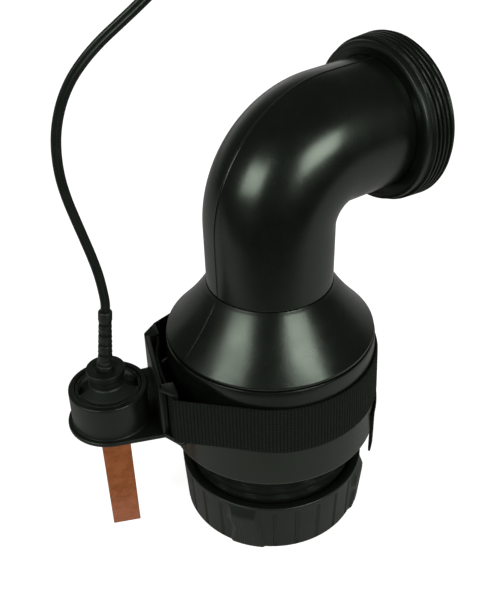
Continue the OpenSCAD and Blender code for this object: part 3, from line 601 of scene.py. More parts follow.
def build_elbow():
    """The 90 degree tube with its spigot, its bore and the mould's parting line."""
    h, c = group("valve_housing"), group("valve_collar")
    lift = h.outlet_z - h.bend_r - h.neck_z
    end = lift + h.bend_r * np.pi / 2 + (c.back_x + c.deep - c.mouth_deep - 2 - h.bend_r)
    out = np.concatenate([[0, 0.12, 0.4, 1], np.linspace(3, lift, 7)[:-1],
                          np.linspace(lift, end - 6, 54), [end - 3, end]])
    size = h.tube_r - h.tube_taper / 2 + h.tube_taper * out / end
    size[:2] -= [0.42, 0.14]
    inn = np.concatenate([[end], np.linspace(end - 4, lift, 44), [lift - 8, 4, -h.spigot_len]])
    spigot = np.array([-h.spigot_len, -h.spigot_len + 0.6, -0.2])
    s = np.concatenate([out, inn, spigot])
    r = np.concatenate([size, 0 * inn + h.pipe_bore_r, h.tube_r - np.array([2.4, 1.8, 1.8])])
    piece("elbow_shell", [shell(elbow_rings(s, r, h), wrap_rows=True)], finish_of("black_abs"), "valve",
          ["elbow_tube"])


def build_cone():
    """The cone, turned, with a slightly hollow flank r = r0 + (r1 - r0) t - 4 hollow t (1 - t),
    a plain rim where it meets the bowl, and the parting rib down its front and back."""
    h = group("valve_housing")
    t = np.linspace(0.02, 1, 30)
    foot_r, foot_z = h.bowl_rim_r - 0.6, h.shoulder_z + 1.7
    r = h.neck_r + (foot_r - h.neck_r) * t - 4 * h.hollow * t * (1 - t)
    z = h.neck_z - 0.5 + (foot_z - h.neck_z + 0.5) * t
    inn_r = h.bowl_rim_r - h.wall - 0.45
    spigot = h.tube_r - 1.78
    out = np.stack([r, z], -1)
    low = np.array([[foot_r + 0.05, foot_z - 0.5], [foot_r + 0.06, foot_z - 1.0],
                    [foot_r - 0.06, foot_z - 1.4], [foot_r - 0.5, h.shoulder_z + 0.05],
                    [inn_r, h.shoulder_z + 0.05], [inn_r, h.shoulder_z - 7],
                    [inn_r - h.wall, h.shoulder_z - 7], [inn_r - h.wall, h.shoulder_z - 1]])
    socket = h.neck_z - h.spigot_len
    up = np.array([[h.pipe_bore_r + 7, socket - 2.6], [h.pipe_bore_r + 1, socket - 2.4],
                   [h.pipe_bore_r, socket - 1.6], [h.pipe_bore_r, socket], [spigot, socket],
                   [spigot, h.neck_z - 0.02], [h.neck_r - 0.5, h.neck_z - 0.02],
                   [h.neck_r - 0.12, h.neck_z - 0.1], [h.neck_r, h.neck_z - 0.3]])
    flank = (out[::-1] - [h.wall + 0.2, 0.6])[1:22]
    profile = np.vstack([out, low, flank, up])

    def rib(r, z, a):
        away = np.abs((a + np.pi / 2) % np.pi - np.pi / 2) * r
        ends = np.clip(np.minimum(h.neck_z - 1 - z, z - h.shoulder_z - 2) / 2, 0, 1)
        outer = np.zeros((len(profile), 1))
        outer[:len(out)] = 1
        return 0.4 * h.rib_h * np.exp(-(away / 0.36) ** 4) * ends * outer

    columns = around_with(160, (0, np.pi), RIB_COLUMNS / CONE_MID_R)
    piece("cone_shell", [shell(turned(profile, columns, rib), wrap_rows=True)], finish_of("black_abs"),
          "valve", ["upper_cone"])


def thread_height(z, a, start, stop, pitch, crest):
    """A right-hand thread as a height from 0 to 1: phase = z / pitch - a / 360 degrees, and the crest
    is a rounded trapezoid about phase 0, that fades in and out over 0.4 of a pitch at its ends."""
    fade = 0.4 * pitch
    phase = np.abs(((z - start) / pitch - a / (2 * np.pi) + 0.5) % 1 - 0.5)
    ridge = np.clip((0.5 - crest * 0.5 - phase) / (0.5 - crest), 0, 1)
    ridge = ridge * ridge * (3 - 2 * ridge)
    return ridge * np.clip((z - start) / fade, 0, 1) * np.clip((stop - z) / fade, 0, 1)


def build_collar():
    """The threaded collar, a turned ring laid along X, with a true helical thread."""
    h, c = group("valve_housing"), group("valve_collar")
    x0, x1 = c.back_x, c.back_x + c.deep
    root = c.crest_r - c.thread_h
    bore = h.tube_r + 0.45
    back = [[bore, x0 + 1.6], [bore, x0 + 0.5], [bore + 0.4, x0 + 0.3], [bore + 3.2, x0 + 0.3],
            [bore + 3.5, x0 + 0.1], [bore + 3.8, x0]]
    rim = [[root - 0.7, x0], [root - 0.28, x0 + 0.25], [root - 0.1, x0 + 0.8], [root - 0.05, x0 + 1.6]]
    x = np.linspace(x0 + 2, x1 - 0.9, 92)
    # towards the mouth the thread widens by this much for each mm
    grow = 0.065
    body = np.stack([root + grow * np.maximum(x - x0 - 4, 0), x], -1)
    end = body[-1, 0]
    front = [[end - 0.1, x1 - 0.5], [end - 0.6, x1], [c.mouth_r + 0.5, x1], [c.mouth_r, x1 - 0.5],
             [c.mouth_r, x1 - c.mouth_deep], [h.pipe_bore_r, x1 - c.mouth_deep],
             [h.pipe_bore_r, x1 - c.mouth_deep - 1.9], [bore, x1 - c.mouth_deep - 1.95]]
    profile = np.vstack([back, rim, body, front])

    def ridge(r, z, a):
        inside = (r > root - 0.01) & (z > x0 + 1.9) & (z < x1 - 0.8)
        return inside * c.thread_h * thread_height(z, a, x0 + 2.9, x1 - 0.9, c.pitch, 0.3)

    points = turned(profile, around(216), ridge)
    laid = np.stack([points[..., 2], points[..., 1], h.outlet_z - points[..., 0]], -1)
    piece("collar_ring", [shell(laid, wrap_rows=True)], finish_of("rubbed_abs"), "valve",
          ["outlet_collar"], crease=50)


def build_bowl():
    """The bowl, a turned cup whose side leans in towards its rim, and the threaded neck under it."""
    h, u = group("valve_housing"), group("valve_union")
    z = np.linspace(h.bowl_foot_z + 0.9, h.shoulder_z - 1.2, 24)
    side = np.stack([h.bowl_foot_r + (h.bowl_rim_r - h.bowl_foot_r) * (z - h.bowl_foot_z)
                     / (h.shoulder_z - h.bowl_foot_z), z], -1)
    rim_z, inn = h.shoulder_z - 0.35, h.bowl_rim_r - h.wall - 0.4
    over = [[h.bowl_rim_r - 0.06, rim_z - 0.45], [h.bowl_rim_r - 0.3, rim_z - 0.08],
            [h.bowl_rim_r - 0.7, rim_z], [inn, rim_z], [inn, h.bowl_foot_z + 4.3],
            [inn - 0.7, h.bowl_foot_z + 2.4], [inn - 2.6, h.bowl_foot_z + 1.7],
            [u.root_r - 3.4, h.bowl_foot_z + 1.7],
            [u.root_r - 3.4, h.bowl_foot_z - 5.2], [u.root_r + 0.9, h.bowl_foot_z - 5.2]]
    under = [[u.root_r + 3.4, h.bowl_foot_z - 4.4], [h.bowl_foot_r - 2.2, h.bowl_foot_z - 1.9],
             [h.bowl_foot_r - 1.0, h.bowl_foot_z - 1.3], [h.bowl_foot_r - 0.45, h.bowl_foot_z - 0.75],
             [h.bowl_foot_r - 0.12, h.bowl_foot_z - 0.1], [h.bowl_foot_r - 0.02, h.bowl_foot_z + 0.45]]
    piece("bowl_shell", [shell(turned(np.vstack([side, over, under]), around(208)), wrap_rows=True)],
          finish_of("black_abs"), "valve", ["valve_bowl"])

    neck_z = np.linspace(u.neck_foot_z + 1, h.bowl_foot_z - 5.9, 92)
    neck = np.vstack([[[u.root_r - 3.4, h.bowl_foot_z - 5.25], [u.root_r - 3.4, u.neck_foot_z],
                       [u.root_r - 0.8, u.neck_foot_z], [u.root_r - 0.1, u.neck_foot_z + 0.7]],
                      np.stack([0 * neck_z + u.root_r, neck_z], -1),
                      [[u.root_r + 0.4, h.bowl_foot_z - 5.25]]])

    def ridge(r, z, a):
        inside = (np.abs(r - u.root_r) < 0.01) & (z < h.bowl_foot_z - 6)
        return inside * u.thread_h * thread_height(z, a, u.neck_foot_z + 1.5, h.bowl_foot_z - 7.5,
                                                   u.pitch, 0.34)

    # the thread is the same moulding as the bowl, given a copy of its ABS with the reflection turned down as
    # painted shade for the recess inside the nut
    piece("neck_thread", [shell(turned(neck, around(208), ridge), wrap_rows=True)],
          finish_of("thread_abs"), "valve", ["valve_bowl"])


# ---------- the union nut ----------
def smooth(x):
    """A step from 0 to 1 with soft ends, 3x^2 - 2x^3."""
    x = np.clip(x, 0, 1)
    return x * x * (3 - 2 * x)


def build_nut():
    """The nut as radius over height and angle: a tapered wall, four blocks that stand proud of it with
    sloping flanks and a sloping top face, five grooves in each quarter and fine serrations on the
    blocks. A block's proud height is the smaller of its top face and its flank, which rises over 2.2 mm
    of arc on one side and over 4.4 mm on the other."""
    u = group("valve_union")
    z = np.concatenate([[0.0, 0.12, 0.45, 1.0], np.linspace(2, u.nut_h - 3, 34),
                        u.nut_h - np.array([2.4, 1.9, 1.5, 1.2, 0.8, 0.35, 0.08, 0.0])])
    base = u.foot_r + (u.top_r - u.foot_r) * z / u.nut_h
    base[:4] -= [1.2, 0.55, 0.16, 0.0]
    base[-4:] -= [0.0, 0.12, 0.5, 0.9]
    wall = np.stack([base, z], -1)
    inside = [[u.bore_r + 1.2, u.nut_h], [u.bore_r, u.nut_h - 1], [u.bore_r, u.lip_h], [u.eye_r, u.lip_h],
              [u.eye_r, 0.5], [u.eye_r + 0.5, 0.0]]
    profile = np.vstack([wall, inside])
    rows = len(wall)

    def relief(r, z, a):
        quarter = (a - u.lug_turn + np.pi / 4) % (np.pi / 2) - np.pi / 4
        arc = np.abs(quarter * u.foot_r)
        tall = np.interp(z, [0, 0.6, 1.2, 22.6, 23.6, 24.1, u.nut_h - 1.5], [0, 0.8, 1.25, 2.3, 2.25, 2.0, 0])
        # the clockwise flank is wide and low and spreads upwards, the other is steep and leans in
        low_side = quarter < 0
        half = 9.0 - 0.14 * z + low_side * (1.2 + 3.6 * smooth((z - 12) / 8))
        flank = np.clip((half - arc) / np.where(low_side, 4.4, 2.2), 0, 1)
        block = np.minimum(tall, 2.6 * smooth(flank * 0.96 + 0.02) * (flank > 0))
        # the five grooves between two blocks, counted from the first
        spacing, first = np.radians(13.75), np.radians(17.5)
        step = (a - u.lug_turn) % (np.pi / 2) - first
        nearest = np.clip(np.round(step / spacing), 0, 4)
        off = np.abs(step - nearest * spacing) * u.foot_r
        groove = (0.7 * smooth((1.05 - off) / 0.5) * smooth((u.nut_h - 2.3 - z) / 0.8)
                  * smooth((z - 0.7) / 1.5))
        tooth_pitch = 1.15
        teeth = (0.16 * np.cos(arc * 2 * np.pi / tooth_pitch) * smooth((4.6 - arc) / 0.5)
                 * smooth((22 - z) / 0.8))
        outer = np.zeros((len(profile), 1))
        outer[:rows] = 1
        return outer * (block - groove + teeth * smooth(z - 0.6))

    piece("union_nut_shell", [shell(turned(profile, around(760), relief), wrap_rows=True)],
          finish_of("black_pp"), "union_ring", ["union_nut"], crease=50)


# ---------- the bracket ----------
def build_bracket():
    """The bracket in its own frame, X outwards through the cup: a base plate, a turned cup, a web to
    the strap wall, the wall, that leans in at its far end and has a bead at its near one, and the two
    ends that hold the webbing. The far end is cut off at 45 degrees."""
    b, s, h = group("valve_bracket"), group("valve_strap"), group("valve_housing")
    plate_top, cup_top = b.under_z + b.plate_t, b.under_z + b.cup_h
    wall_top = s.low_z + s.wide + 2.2
    flange = b.foot_r + 2.2
    a = np.radians(np.linspace(90, -90, 37))
    tip = np.stack([b.cup_dist + flange * np.cos(a), flange * np.sin(a)], -1)
    side = np.array([[b.wall_x + 1.5, flange + 1.6], [b.wall_x - 2.3, 28.4], [b.wall_x - 4.1, 31.2],
                     [b.wall_x - 6.1, 31.2]])
    far_side = np.array([[b.wall_x + 1.5, -flange - 1.6], [b.wall_x - 1, -30], [b.wall_x - 7.5, -37.5],
                         [b.wall_x - 15, -42.5], [b.wall_x - 20, -40.5]])
    inner = np.radians(np.linspace(-44, 28, 37))
    bay = (h.bowl_foot_r - 0.45) * np.stack([np.cos(inner), np.sin(inner)], -1)
    plan = np.vstack([tip, far_side, bay, side[::-1]])[::-1]
    parts = [slab(plan, b.under_z, plate_top, 0.75)]
    # cup: outer side, rounded rim, inner side and floor
    cup = rounded([[b.foot_r + 0.7, plate_top - 0.3], [b.foot_r, plate_top + 0.8], [b.rim_r, cup_top],
                   [b.bore_r, cup_top], [b.bore_r, plate_top - 0.2], [b.bore_r - 8, plate_top - 0.2],
                   [b.bore_r - 8, plate_top - 1.2], [b.foot_r - 2, plate_top - 1.2]],
                  [0.8, 0.9, 0.75, 0.7, 0.3, 0.2, 0.2, 0.2])
    cup_verts, cup_faces = shell(turned(denser(cup, 2.5), around(120)), wrap_rows=True)
    parts.append((cup_verts + [b.cup_dist, 0, 0], cup_faces))
    out_x, post_x = b.wall_x + b.wall_t, b.wall_x - 5.5
    # the wall leans in by 2.8 mm at its far end
    far_out = out_x - 2.8

    # the web between the wall and the cup stops inside the cup's side
    gap = np.radians(np.linspace(180 - 27, 180 + 27, 9))
    round_cup = np.stack([b.cup_dist + (b.bore_r + 1) * np.cos(gap), (b.bore_r + 1) * np.sin(gap)], -1)
    web = np.vstack([[[b.wall_x + 0.4, 8]], [[b.wall_x + 0.1, -8]], round_cup[::-1]])
    parts.append(slab(web, plate_top - 0.3, cup_top - 0.7, 0.5))

    low, lid = b.under_z + 0.3, wall_top - 1.8
    wall = [[far_out - b.wall_t, -20], [far_out, -22.2], [out_x, 22.4], [b.wall_x, 22.4]]
    bead = [[b.wall_x - 1.2, 18.8], [out_x - 0.3, 18.8], [out_x - 0.3, 22.3], [b.wall_x - 1.2, 22.3]]
    near_post = [[post_x, 19], [post_x + 1.9, 19], [post_x + 1.9, 28], [post_x, 28]]
    near_bridge = [[post_x, 19.2], [b.wall_x + 1, 19.2], [out_x - 0.1, 22.2], [post_x + 1.6, 29.2],
                   [post_x, 29.2]]
    # at 45 degrees y falls by as much as x does, from the wall's far corner in to the post
    cut = -22.4 - far_out
    top_x = post_x - 2.1
    far_corner = [[post_x, post_x + cut], [far_out, -22.4], [far_out, -19], [post_x, -19]]
    # its top reaches on over the webbing
    far_top = [[top_x, top_x + cut], [far_out - 0.1, -22.3], [far_out - 0.1, -19], [top_x, -19]]
    for outline, foot, top, edge, corner in (
            (wall, low, wall_top, 0.6, 0.8), (bead, low, wall_top - 0.3, 0.5, 0.5),
            (near_post, low, wall_top - 0.4, 0.5, 0.5), (near_bridge, lid, wall_top, 0.5, 0.8),
            (far_corner, low, wall_top - 0.2, 0.5, 0.5), (far_top, lid, wall_top, 0.5, 0.6)):
        parts.append(slab(rounded(outline, corner, 3), foot, top, edge, 2))
    piece("bracket_moulding", [spun(p, b.cup_az) for p in parts], finish_of("black_pp"), "valve",
          ["probe_bracket"])


# ---------- the probe ----------
# how far the probe's cap lies below the cup's rim, and the gland's foot above the cap
CAP_BELOW, GLAND_RISE = 2, 7.7


def in_probe(part):
    """A part from the probe's own frame, turned in its cup, shifted out and turned to the cup's side."""
    b, p = group("valve_bracket"), group("valve_probe")
    verts, faces = spun(part, p.probe_turn)
    return spun((verts, faces), b.cup_az, (b.cup_dist, 0, 0))


def build_probe():
    """The probe's cap and skirt: height over radius and angle, with two pockets beside the gland's
    collar and eight small lugs at its edge; the gland cap; and the copper bars."""
    b, p = group("valve_bracket"), group("valve_probe")
    cap_z, face_z = b.under_z + b.cup_h - CAP_BELOW, b.under_z + b.cup_h - 0.3
    gland_z = cap_z + GLAND_RISE
    rows = rounded([[p.body_r - 1.6, b.under_z + b.plate_t + 0.1], [p.body_r, b.under_z + b.plate_t + 0.1],
                    [p.body_r, face_z], [13.6, face_z - 0.05], [13.2, face_z + 0.25],
                    [p.gland_r - 0.5, face_z + 2.7], [p.gland_r - 0.9, face_z + 3.3],
                    [p.gland_r - 0.9, gland_z], [3.6, gland_z], [3.6, cap_z - 2],
                    [p.body_r - 1.6, cap_z - 2]],
                   [0.3, 0.3, 0.5, 0.2, 0.3, 0.4, 0.4, 0.2, 0.2, 0.2, 0.2])
    points = turned(denser(rows, 0.4), around(240))
    r = np.hypot(points[..., 0], points[..., 1])
    on_cap = (points[..., 2] > face_z - 0.3) & (r > p.gland_r - 0.4) & (r < p.body_r - 0.5)
    # two pockets beside the gland's collar, each about 5 by 7.3 mm
    pocket_x, half_w, half_l, deep, edge = 11.6, 2.6, 3.8, 3.0, 0.3
    from_x, from_y = np.abs(np.abs(points[..., 0]) - pocket_x), np.abs(points[..., 1])
    sunk = deep * smooth((half_w - from_x) / edge) * smooth((half_l - from_y) / edge)
    points[..., 2] -= on_cap * sunk
    parts = [shell(points, wrap_rows=True)]
    for k in range(8):
        lug = slab(rounded([[p.body_r - 2.0, -0.8], [p.body_r - 0.5, -0.8], [p.body_r - 0.5, 0.8],
                            [p.body_r - 2.0, 0.8]], 0.3, 3), face_z - 1, face_z + 0.45, 0.3, 2)
        parts.append(spun(lug, np.radians(22.5 + 45 * k)))
    piece("probe_cap", [in_probe(q) for q in parts], finish_of("matt_pp"), "valve",
          ["probe_body"])

    top = gland_z + p.gland_h
    cap = rounded([[3.7, gland_z + 0.02], [p.gland_r - 0.7, gland_z + 0.02], [p.gland_r - 0.7, gland_z + 1.2],
                   [p.gland_r - 0.35, gland_z + 1.4], [p.gland_r - 0.35, top - 1.9], [p.gland_r, top - 1.7],
                   [p.gland_r, top - 0.1], [p.gland_r - 0.5, top], [5.6, top], [5.4, top - 0.25],
                   [3.7, top - 0.25]],
                  [0.2, 0.3, 0.15, 0.2, 0.15, 0.2, 0.3, 0.3, 0.1, 0.1, 0.2])
    piece("gland_ring", [in_probe(shell(turned(denser(cap, 1.2), around(96)), wrap_rows=True))],
          finish_of("black_pp"), "valve", ["gland_cap"])

    plan = rounded([[-p.bar_w / 2, -p.bar_t / 2], [p.bar_w / 2, -p.bar_t / 2], [p.bar_w / 2, p.bar_t / 2],
                    [-p.bar_w / 2, p.bar_t / 2]], 0.35, 3)
    for name, side in (("front", 1), ("rear", -1)):
        verts, faces = slab(denser(plan, 1.5), p.bar_foot_z, cap_z - 5.5, 0.3, 2)
        # rolled bar: its faces wave by a few hundredths of a millimetre
        verts = verts + np.array([0, 1, 0]) * (0.04 * np.sin(verts[:, 2:] * 0.21 + side)
                                               * (np.abs(verts[:, :1]) < 6.6))
        bar = in_probe((verts + [0, side * p.bar_pitch / 2, 0], faces))
        piece("copper_bar_" + name, [bar], finish_of("copper"), "valve", ["electrode_" + name])


def build_sleeve():
    """The strain relief: a tapered sleeve whose rings are cut by slots that alternate side to side,
    so r = taper - depth where cos(angle) has the slot's sign, and a plain collar at its tip."""
    b, p = group("valve_bracket"), group("valve_probe")
    foot = b.under_z + b.cup_h - CAP_BELOW + GLAND_RISE + p.gland_h
    z = np.concatenate([[-3.8, -0.4], np.arange(0, p.boot_len - 0.9, 0.22),
                        p.boot_len - np.array([0.55, 0.25, 0.08, 0.0])])
    taper = 3.5 - 0.5 * np.clip(z / (p.boot_len - 4), 0, 1) + 0.75 * smooth((5.2 - z) / 4)
    collar = 0.25 * smooth((z - p.boot_len + 5.2) / 0.5) * smooth((p.boot_len + 0.2 - z) / 0.7)
    r = taper + collar
    r[-4:] -= [0.05, 0.2, 0.55, 1.2]
    r[:2] = 3.5
    profile = np.stack([r, z], -1)

    def slots(r, z, a):
        pitch = 2.8
        row = np.floor((z - 2.0) / pitch)
        within = ((z - 2.0) / pitch - row) * pitch
        cut = smooth((within - 0.15) / 0.3) * smooth((1.55 - within) / 0.3)
        sign = np.where(row % 2 == 0, 1, -1)
        around_side = smooth((sign * np.sin(a + 0.5) + 0.45) / 0.3)
        inside = (row >= 0) & (z < p.boot_len - 6.2)
        crown = 0.12 * np.cos((within / pitch) * 2 * np.pi)
        return inside * (-1.15 * cut * around_side - crown * 0.5)

    points = turned(profile, around(72), slots)
    lean = p.boot_lean
    high = np.maximum(points[..., 2], 0)
    # lean towards the body: the sleeve's own axis tips about its foot
    tipped = np.stack([points[..., 0] * np.cos(lean) - high * np.sin(lean), points[..., 1],
                       foot + points[..., 2] * np.cos(lean) + points[..., 0] * np.sin(lean)], -1)
    verts, faces = shell(tipped, poles=(True, True))
    piece("sleeve_ribs", [spun((verts, faces), b.cup_az, (b.cup_dist, 0, 0))], finish_of("boot_rubber"),
          "valve", ["strain_relief"], crease=45)


# ---------- the strap ----------
# points across the webbing's outer face
FACE_POINTS = 62


def webbing_section(s, along, thick, rough=0.0):
    """The webbing's section at each place along it: points round a flat bar of the webbing's width and
    the given thickness. Its outer face stands proud by 0.2 |cos(pi u / p) cos(pi v / q)| less 0.12, the
    crowns of a plain weave with ribs p and rows q apart, and by an uneven swell in the yarn of up to
    rough. Its edges are rolled selvedges."""
    wide = s.wide
    v = np.linspace(-wide / 2 + 0.5, wide / 2 - 0.5, FACE_POINTS)
    edge = np.radians(np.linspace(90, -90, 7)[1:-1])
    top = np.stack([0 * v + thick / 2, v], -1)
    right = np.stack([(thick / 2) * np.sin(edge), wide / 2 - 0.5 + 0.5 * np.cos(edge)], -1)
    low = np.stack([0 * v[::8] - thick / 2, v[::-8]], -1)
    left = np.stack([-(thick / 2) * np.sin(edge), -wide / 2 + 0.5 - 0.5 * np.cos(edge)], -1)
    flat = np.vstack([top, right, low, left])
    section = np.broadcast_to(flat, (len(along),) + flat.shape).copy()
    u = along[:, None]
    crowns = np.cos(np.pi * u / s.rib_pitch) * np.cos(np.pi * v[None] / ROW_PITCH)
    swell = rough * (np.sin(u * 2.9 + v[None] * 5.1) * np.sin(u * 1.7 - v[None] * 3.3))
    section[:, :FACE_POINTS, 0] += 0.2 * np.abs(crowns) - 0.12 + swell
    return section


def upright(path, section):
    """Points of a standing strap: a section of (outwards, up) points along a level plan path that may
    climb, outwards being square to the path in plan."""
    ahead = np.gradient(path[:, :2], axis=0)
    ahead /= np.linalg.norm(ahead, axis=1)[:, None]
    out = np.stack([ahead[:, 1], -ahead[:, 0]], -1)
    xy = path[:, None, :2] + out[:, None] * section[..., :1]
    return np.concatenate([xy, path[:, None, 2:] + section[..., 1:]], -1)


def band_radius():
    """Radius of the webbing's middle where it lies on the bowl, at its lower edge's height."""
    h, s = group("valve_housing"), group("valve_strap")
    lean = (h.bowl_rim_r - h.bowl_foot_r) / (h.shoulder_z - h.bowl_foot_z)
    return h.bowl_foot_r + (s.low_z - h.bowl_foot_z) * lean + 0.05 + s.thick / 2


def build_strap():
    """The band: round the bowl on a circle, then inside the far post, along the inside of the bracket's
    wall and outside the near post; and the loose end, that lies on the band and spirals down, its
    lower part pressed in to the bowl."""
    b, s = group("valve_bracket"), group("valve_strap")
    r = band_radius()
    leave = np.radians(61.6)
    a = np.linspace(leave, 2 * np.pi - leave, 161)
    arc = r * np.stack([np.cos(a), np.sin(a)], -1)
    band_x = b.wall_x - 0.15 - s.thick / 2
    turn_x = band_x - 1.4
    turn_y = arc[0, 1] - (turn_x - arc[0, 0]) * np.cos(leave) / np.sin(leave)
    far_x = b.wall_x - 6.9
    loop = np.vstack([[[band_x - 1.2, 4], [band_x - 0.9, 11], [turn_x, 18], [turn_x, turn_y]], arc,
                      [[far_x - 0.7, -31.5], [far_x - 0.1, -26], [far_x, -19.6], [far_x + 1, -15.6],
                       [far_x + 2.5, -11.4], [band_x - 2.1, -7], [band_x - 1.6, -2.5]]])
    # one even step along the loop, a quarter of a rib, then corners eased by a short running mean
    closed = np.vstack([loop, loop[:1]])
    run = np.append(0, np.cumsum(np.linalg.norm(np.diff(closed, axis=0), axis=1)))
    count = 4 * int(run[-1] / s.rib_pitch)
    at = np.linspace(0, run[-1], count, endpoint=False)
    plan = np.stack([np.interp(at, run, closed[:, k]) for k in (0, 1)], -1)
    for _ in range(4):
        plan = sum(np.roll(plan, k, 0) for k in range(-2, 3)) / 5
    # away from the bracket the webbing sits a little lower
    sink, lean_in = 1.2, 0.9
    away = smooth((35 - plan[:, 0]) / 30)
    plan = np.vstack([plan[-1:], plan, plan[:1]])
    away = np.concatenate([away[-1:], away, away[:1]])
    path = np.column_stack([plan, s.low_z + s.wide / 2 - sink * away])
    section = webbing_section(s, np.concatenate([at[-1:], at, at[:1]]), s.thick)
    # and follows the bowl's lean, inwards at its upper edge
    section[..., 0] -= lean_in * away[:, None] * np.clip(section[..., 1] / s.wide + 0.5, 0, 1)
    points = upright(path, section)[1:-1]
    across = section[0, :, 1]
    uv = np.stack([np.broadcast_to(at[:, None], (count, len(across))),
                   np.broadcast_to(across[None], (count, len(across)))], -1).reshape(-1, 2)
    piece("webbing_band", [spun(shell(points, wrap_rows=True), b.cup_az)], finish_of("webbing"), "valve",
          ["strap_band"], crease=75, uv=uv)

    begin, stop = np.radians(290), np.radians(143)
    # the loose end is a little thinner, and over the first press_over mm below the band it moves in to
    # the bowl by press_in mm
    tail_thick = s.thick - 0.2
    press_in, press_over = 2.3, 14
    count = 360
    a = np.linspace(begin, stop, count)
    part = (a - begin) / (stop - begin)
    radius = r + s.thick / 2 + 1 + tail_thick / 2
    lift = s.low_z - s.tail_drop * part * part * (3 - 2 * part) + s.wide / 2
    path = np.column_stack([radius * np.cos(a), radius * np.sin(a), lift])[::-1]
    along = np.append(0, np.cumsum(np.linalg.norm(np.diff(path, axis=0), axis=1)))
    section = webbing_section(s, along, tail_thick, 0.06)
    uv = np.stack([np.broadcast_to(along[:, None], section.shape[:2]), section[..., 1]], -1).reshape(-1, 2)
    uv = np.vstack([uv, [[0, 0], [along[-1], 0]]])
    points = upright(path, section)
    flat = np.hypot(points[..., 0], points[..., 1])
    pressed = flat - press_in * np.clip((s.low_z - points[..., 2]) / press_over, 0, 1)
    points[..., :2] *= (pressed / flat)[..., None]
    piece("webbing_tail", [spun(shell(points, poles=(True, True)), b.cup_az)],
          finish_of("webbing"), "valve", ["strap_tail"], crease=75, uv=uv)


# ---------- the cord ----------
# the cord's middle line, in millimetres, from the sleeve's tip to the connector
ROUTE = np.array([
    [-74.6, 24.95, 136.4], [-74.2, 24.8, 139.7], [-74.1, 25.4, 144.9], [-74.5, 26.8, 154.1],
    [-75.6, 28.8, 163.2], [-77.1, 31.1, 172.4], [-78.7, 33.3, 181.6], [-80.2, 35.2, 190.8],
    [-81.1, 36.4, 200], [-81.2, 36.6, 209.3], [-80.5, 35.9, 218.6], [-78.9, 34.3, 227.5],
    [-76.4, 31.9, 236.1], [-72.9, 28.7, 244.2], [-68.5, 24.8, 251.5], [-63.4, 20.4, 258.3],
    [-57.9, 15.6, 264.6], [-52.6, 10.8, 270.7], [-47.6, 6.1, 276.8]])
FLAT_SIDE = np.array([-0.54, -0.75, 0.38])


def smooth_line(p, per=8):
    """A Catmull-Rom curve through the points: 0.5 (2b + (c - a) t + (2a - 5b + 4c - d) t^2
    + (3b - a - 3c + d) t^3) between b and c."""
    a = np.vstack([p[:1], p[:-2]])
    b, c = p[:-1], p[1:]
    d = np.vstack([p[2:], p[-1:]])
    t = np.linspace(0, 1, per, endpoint=False)[None, :, None]
    a, b, c, d = (q[:, None] for q in (a, b, c, d))
    line = 0.5 * (2 * b + (c - a) * t + (2 * a - 5 * b + 4 * c - d) * t ** 2
                  + (3 * b - a - 3 * c + d) * t ** 3)
    return np.vstack([line.reshape(-1, 3), p[-1:]])


def build_cord():
    """The flat cord: two round cores side by side with a groove down the middle, so that half the
    thickness at x across is the larger of the two circles and a thin web; and its connector."""
    p = group("valve_probe")
    line = smooth_line(ROUTE)
    a = around(32)
    r = p.cord_t / 2
    shift = p.cord_w / 2 - r
    x = p.cord_w / 2 * np.cos(a)
    from_core = np.abs(np.abs(x) - shift)
    core = np.sqrt(np.maximum(r * r - from_core ** 2, 0))
    web = 0.55 * r * (np.abs(x) < shift)
    y = np.sign(np.sin(a)) * np.maximum(core, web)
    section = np.stack([x, y], -1)
    cord = piece("flat_cord", [tube_along(line, FLAT_SIDE, section)], finish_of("cord_pvc"), "valve",
                 ["cord_tube"], crease=60)

    ahead = line[-1] - line[-3]
    ahead /= np.linalg.norm(ahead)
    z = np.array([0.05, 0.1, 0.5, 1, 2, 3, 4, 5, 6, 7, 7.6, 8.3, 9])
    z = np.concatenate([z, np.arange(9.4, p.plug_len - 7, 0.4),
                        p.plug_len - np.array([6.9, 6.5, 6.2, 0.5, 0.1, 0.0])])
    r = np.interp(z, [0, 0.4, 5, 7, 8.5, p.plug_len - 7, p.plug_len - 6.5, p.plug_len - 0.4, p.plug_len],
                  [2.6, 3.1, 3.5] + [p.plug_r - step for step in (0.7, 0.1, 0.1, 0.8, 0.8, 1.2)])
    grip = 0.3 * np.clip(np.cos(z * 2 * np.pi / 1.6), 0, 1) * (z > 9.2) * (z < p.plug_len - 7.2)
    side = np.cross(ahead, FLAT_SIDE)
    side /= np.linalg.norm(side)
    up = np.cross(side, ahead)
    flat = turned(np.stack([r - grip, z], -1), around(64))
    points = line[-1] + flat[..., :1] * side + flat[..., 1:2] * up + flat[..., 2:] * ahead
    plug = piece("connector_shell", [shell(points, poles=(True, True))], finish_of("cord_pvc"), "valve",
                 ["connector_body"])


# ---------- what keeps its own solid ----------
KEPT = {
    "seat_ring": "grey_pvc", "seat_oring": "nitrile", "flapper": "flapper_plastic", "flapper_seal": "nitrile",
    "seal_washer": "stainless", "seal_screw": "stainless", "seal_nut": "stainless", "hinge_pin": "stainless",
    "pin_clips": "stainless", "union_tailpiece": "grey_pvc", "union_oring": "nitrile", "potting": "resin",
    "terminal_lugs": "tinned_brass", "core_wires": "core_insulation", "hook_tape": "hook_nylon",
    "connector_pins": "tinned_brass",
}


def finish_kept():
    """Gives the solids that keep their own mesh their materials."""
    for name, key in KEPT.items():
        made = NODES[name]
        for place in made.material_slots:
            place.link = "DATA"
            place.material = finish_of(key)
        if not made.material_slots:
            made.data.materials.append(finish_of(key))


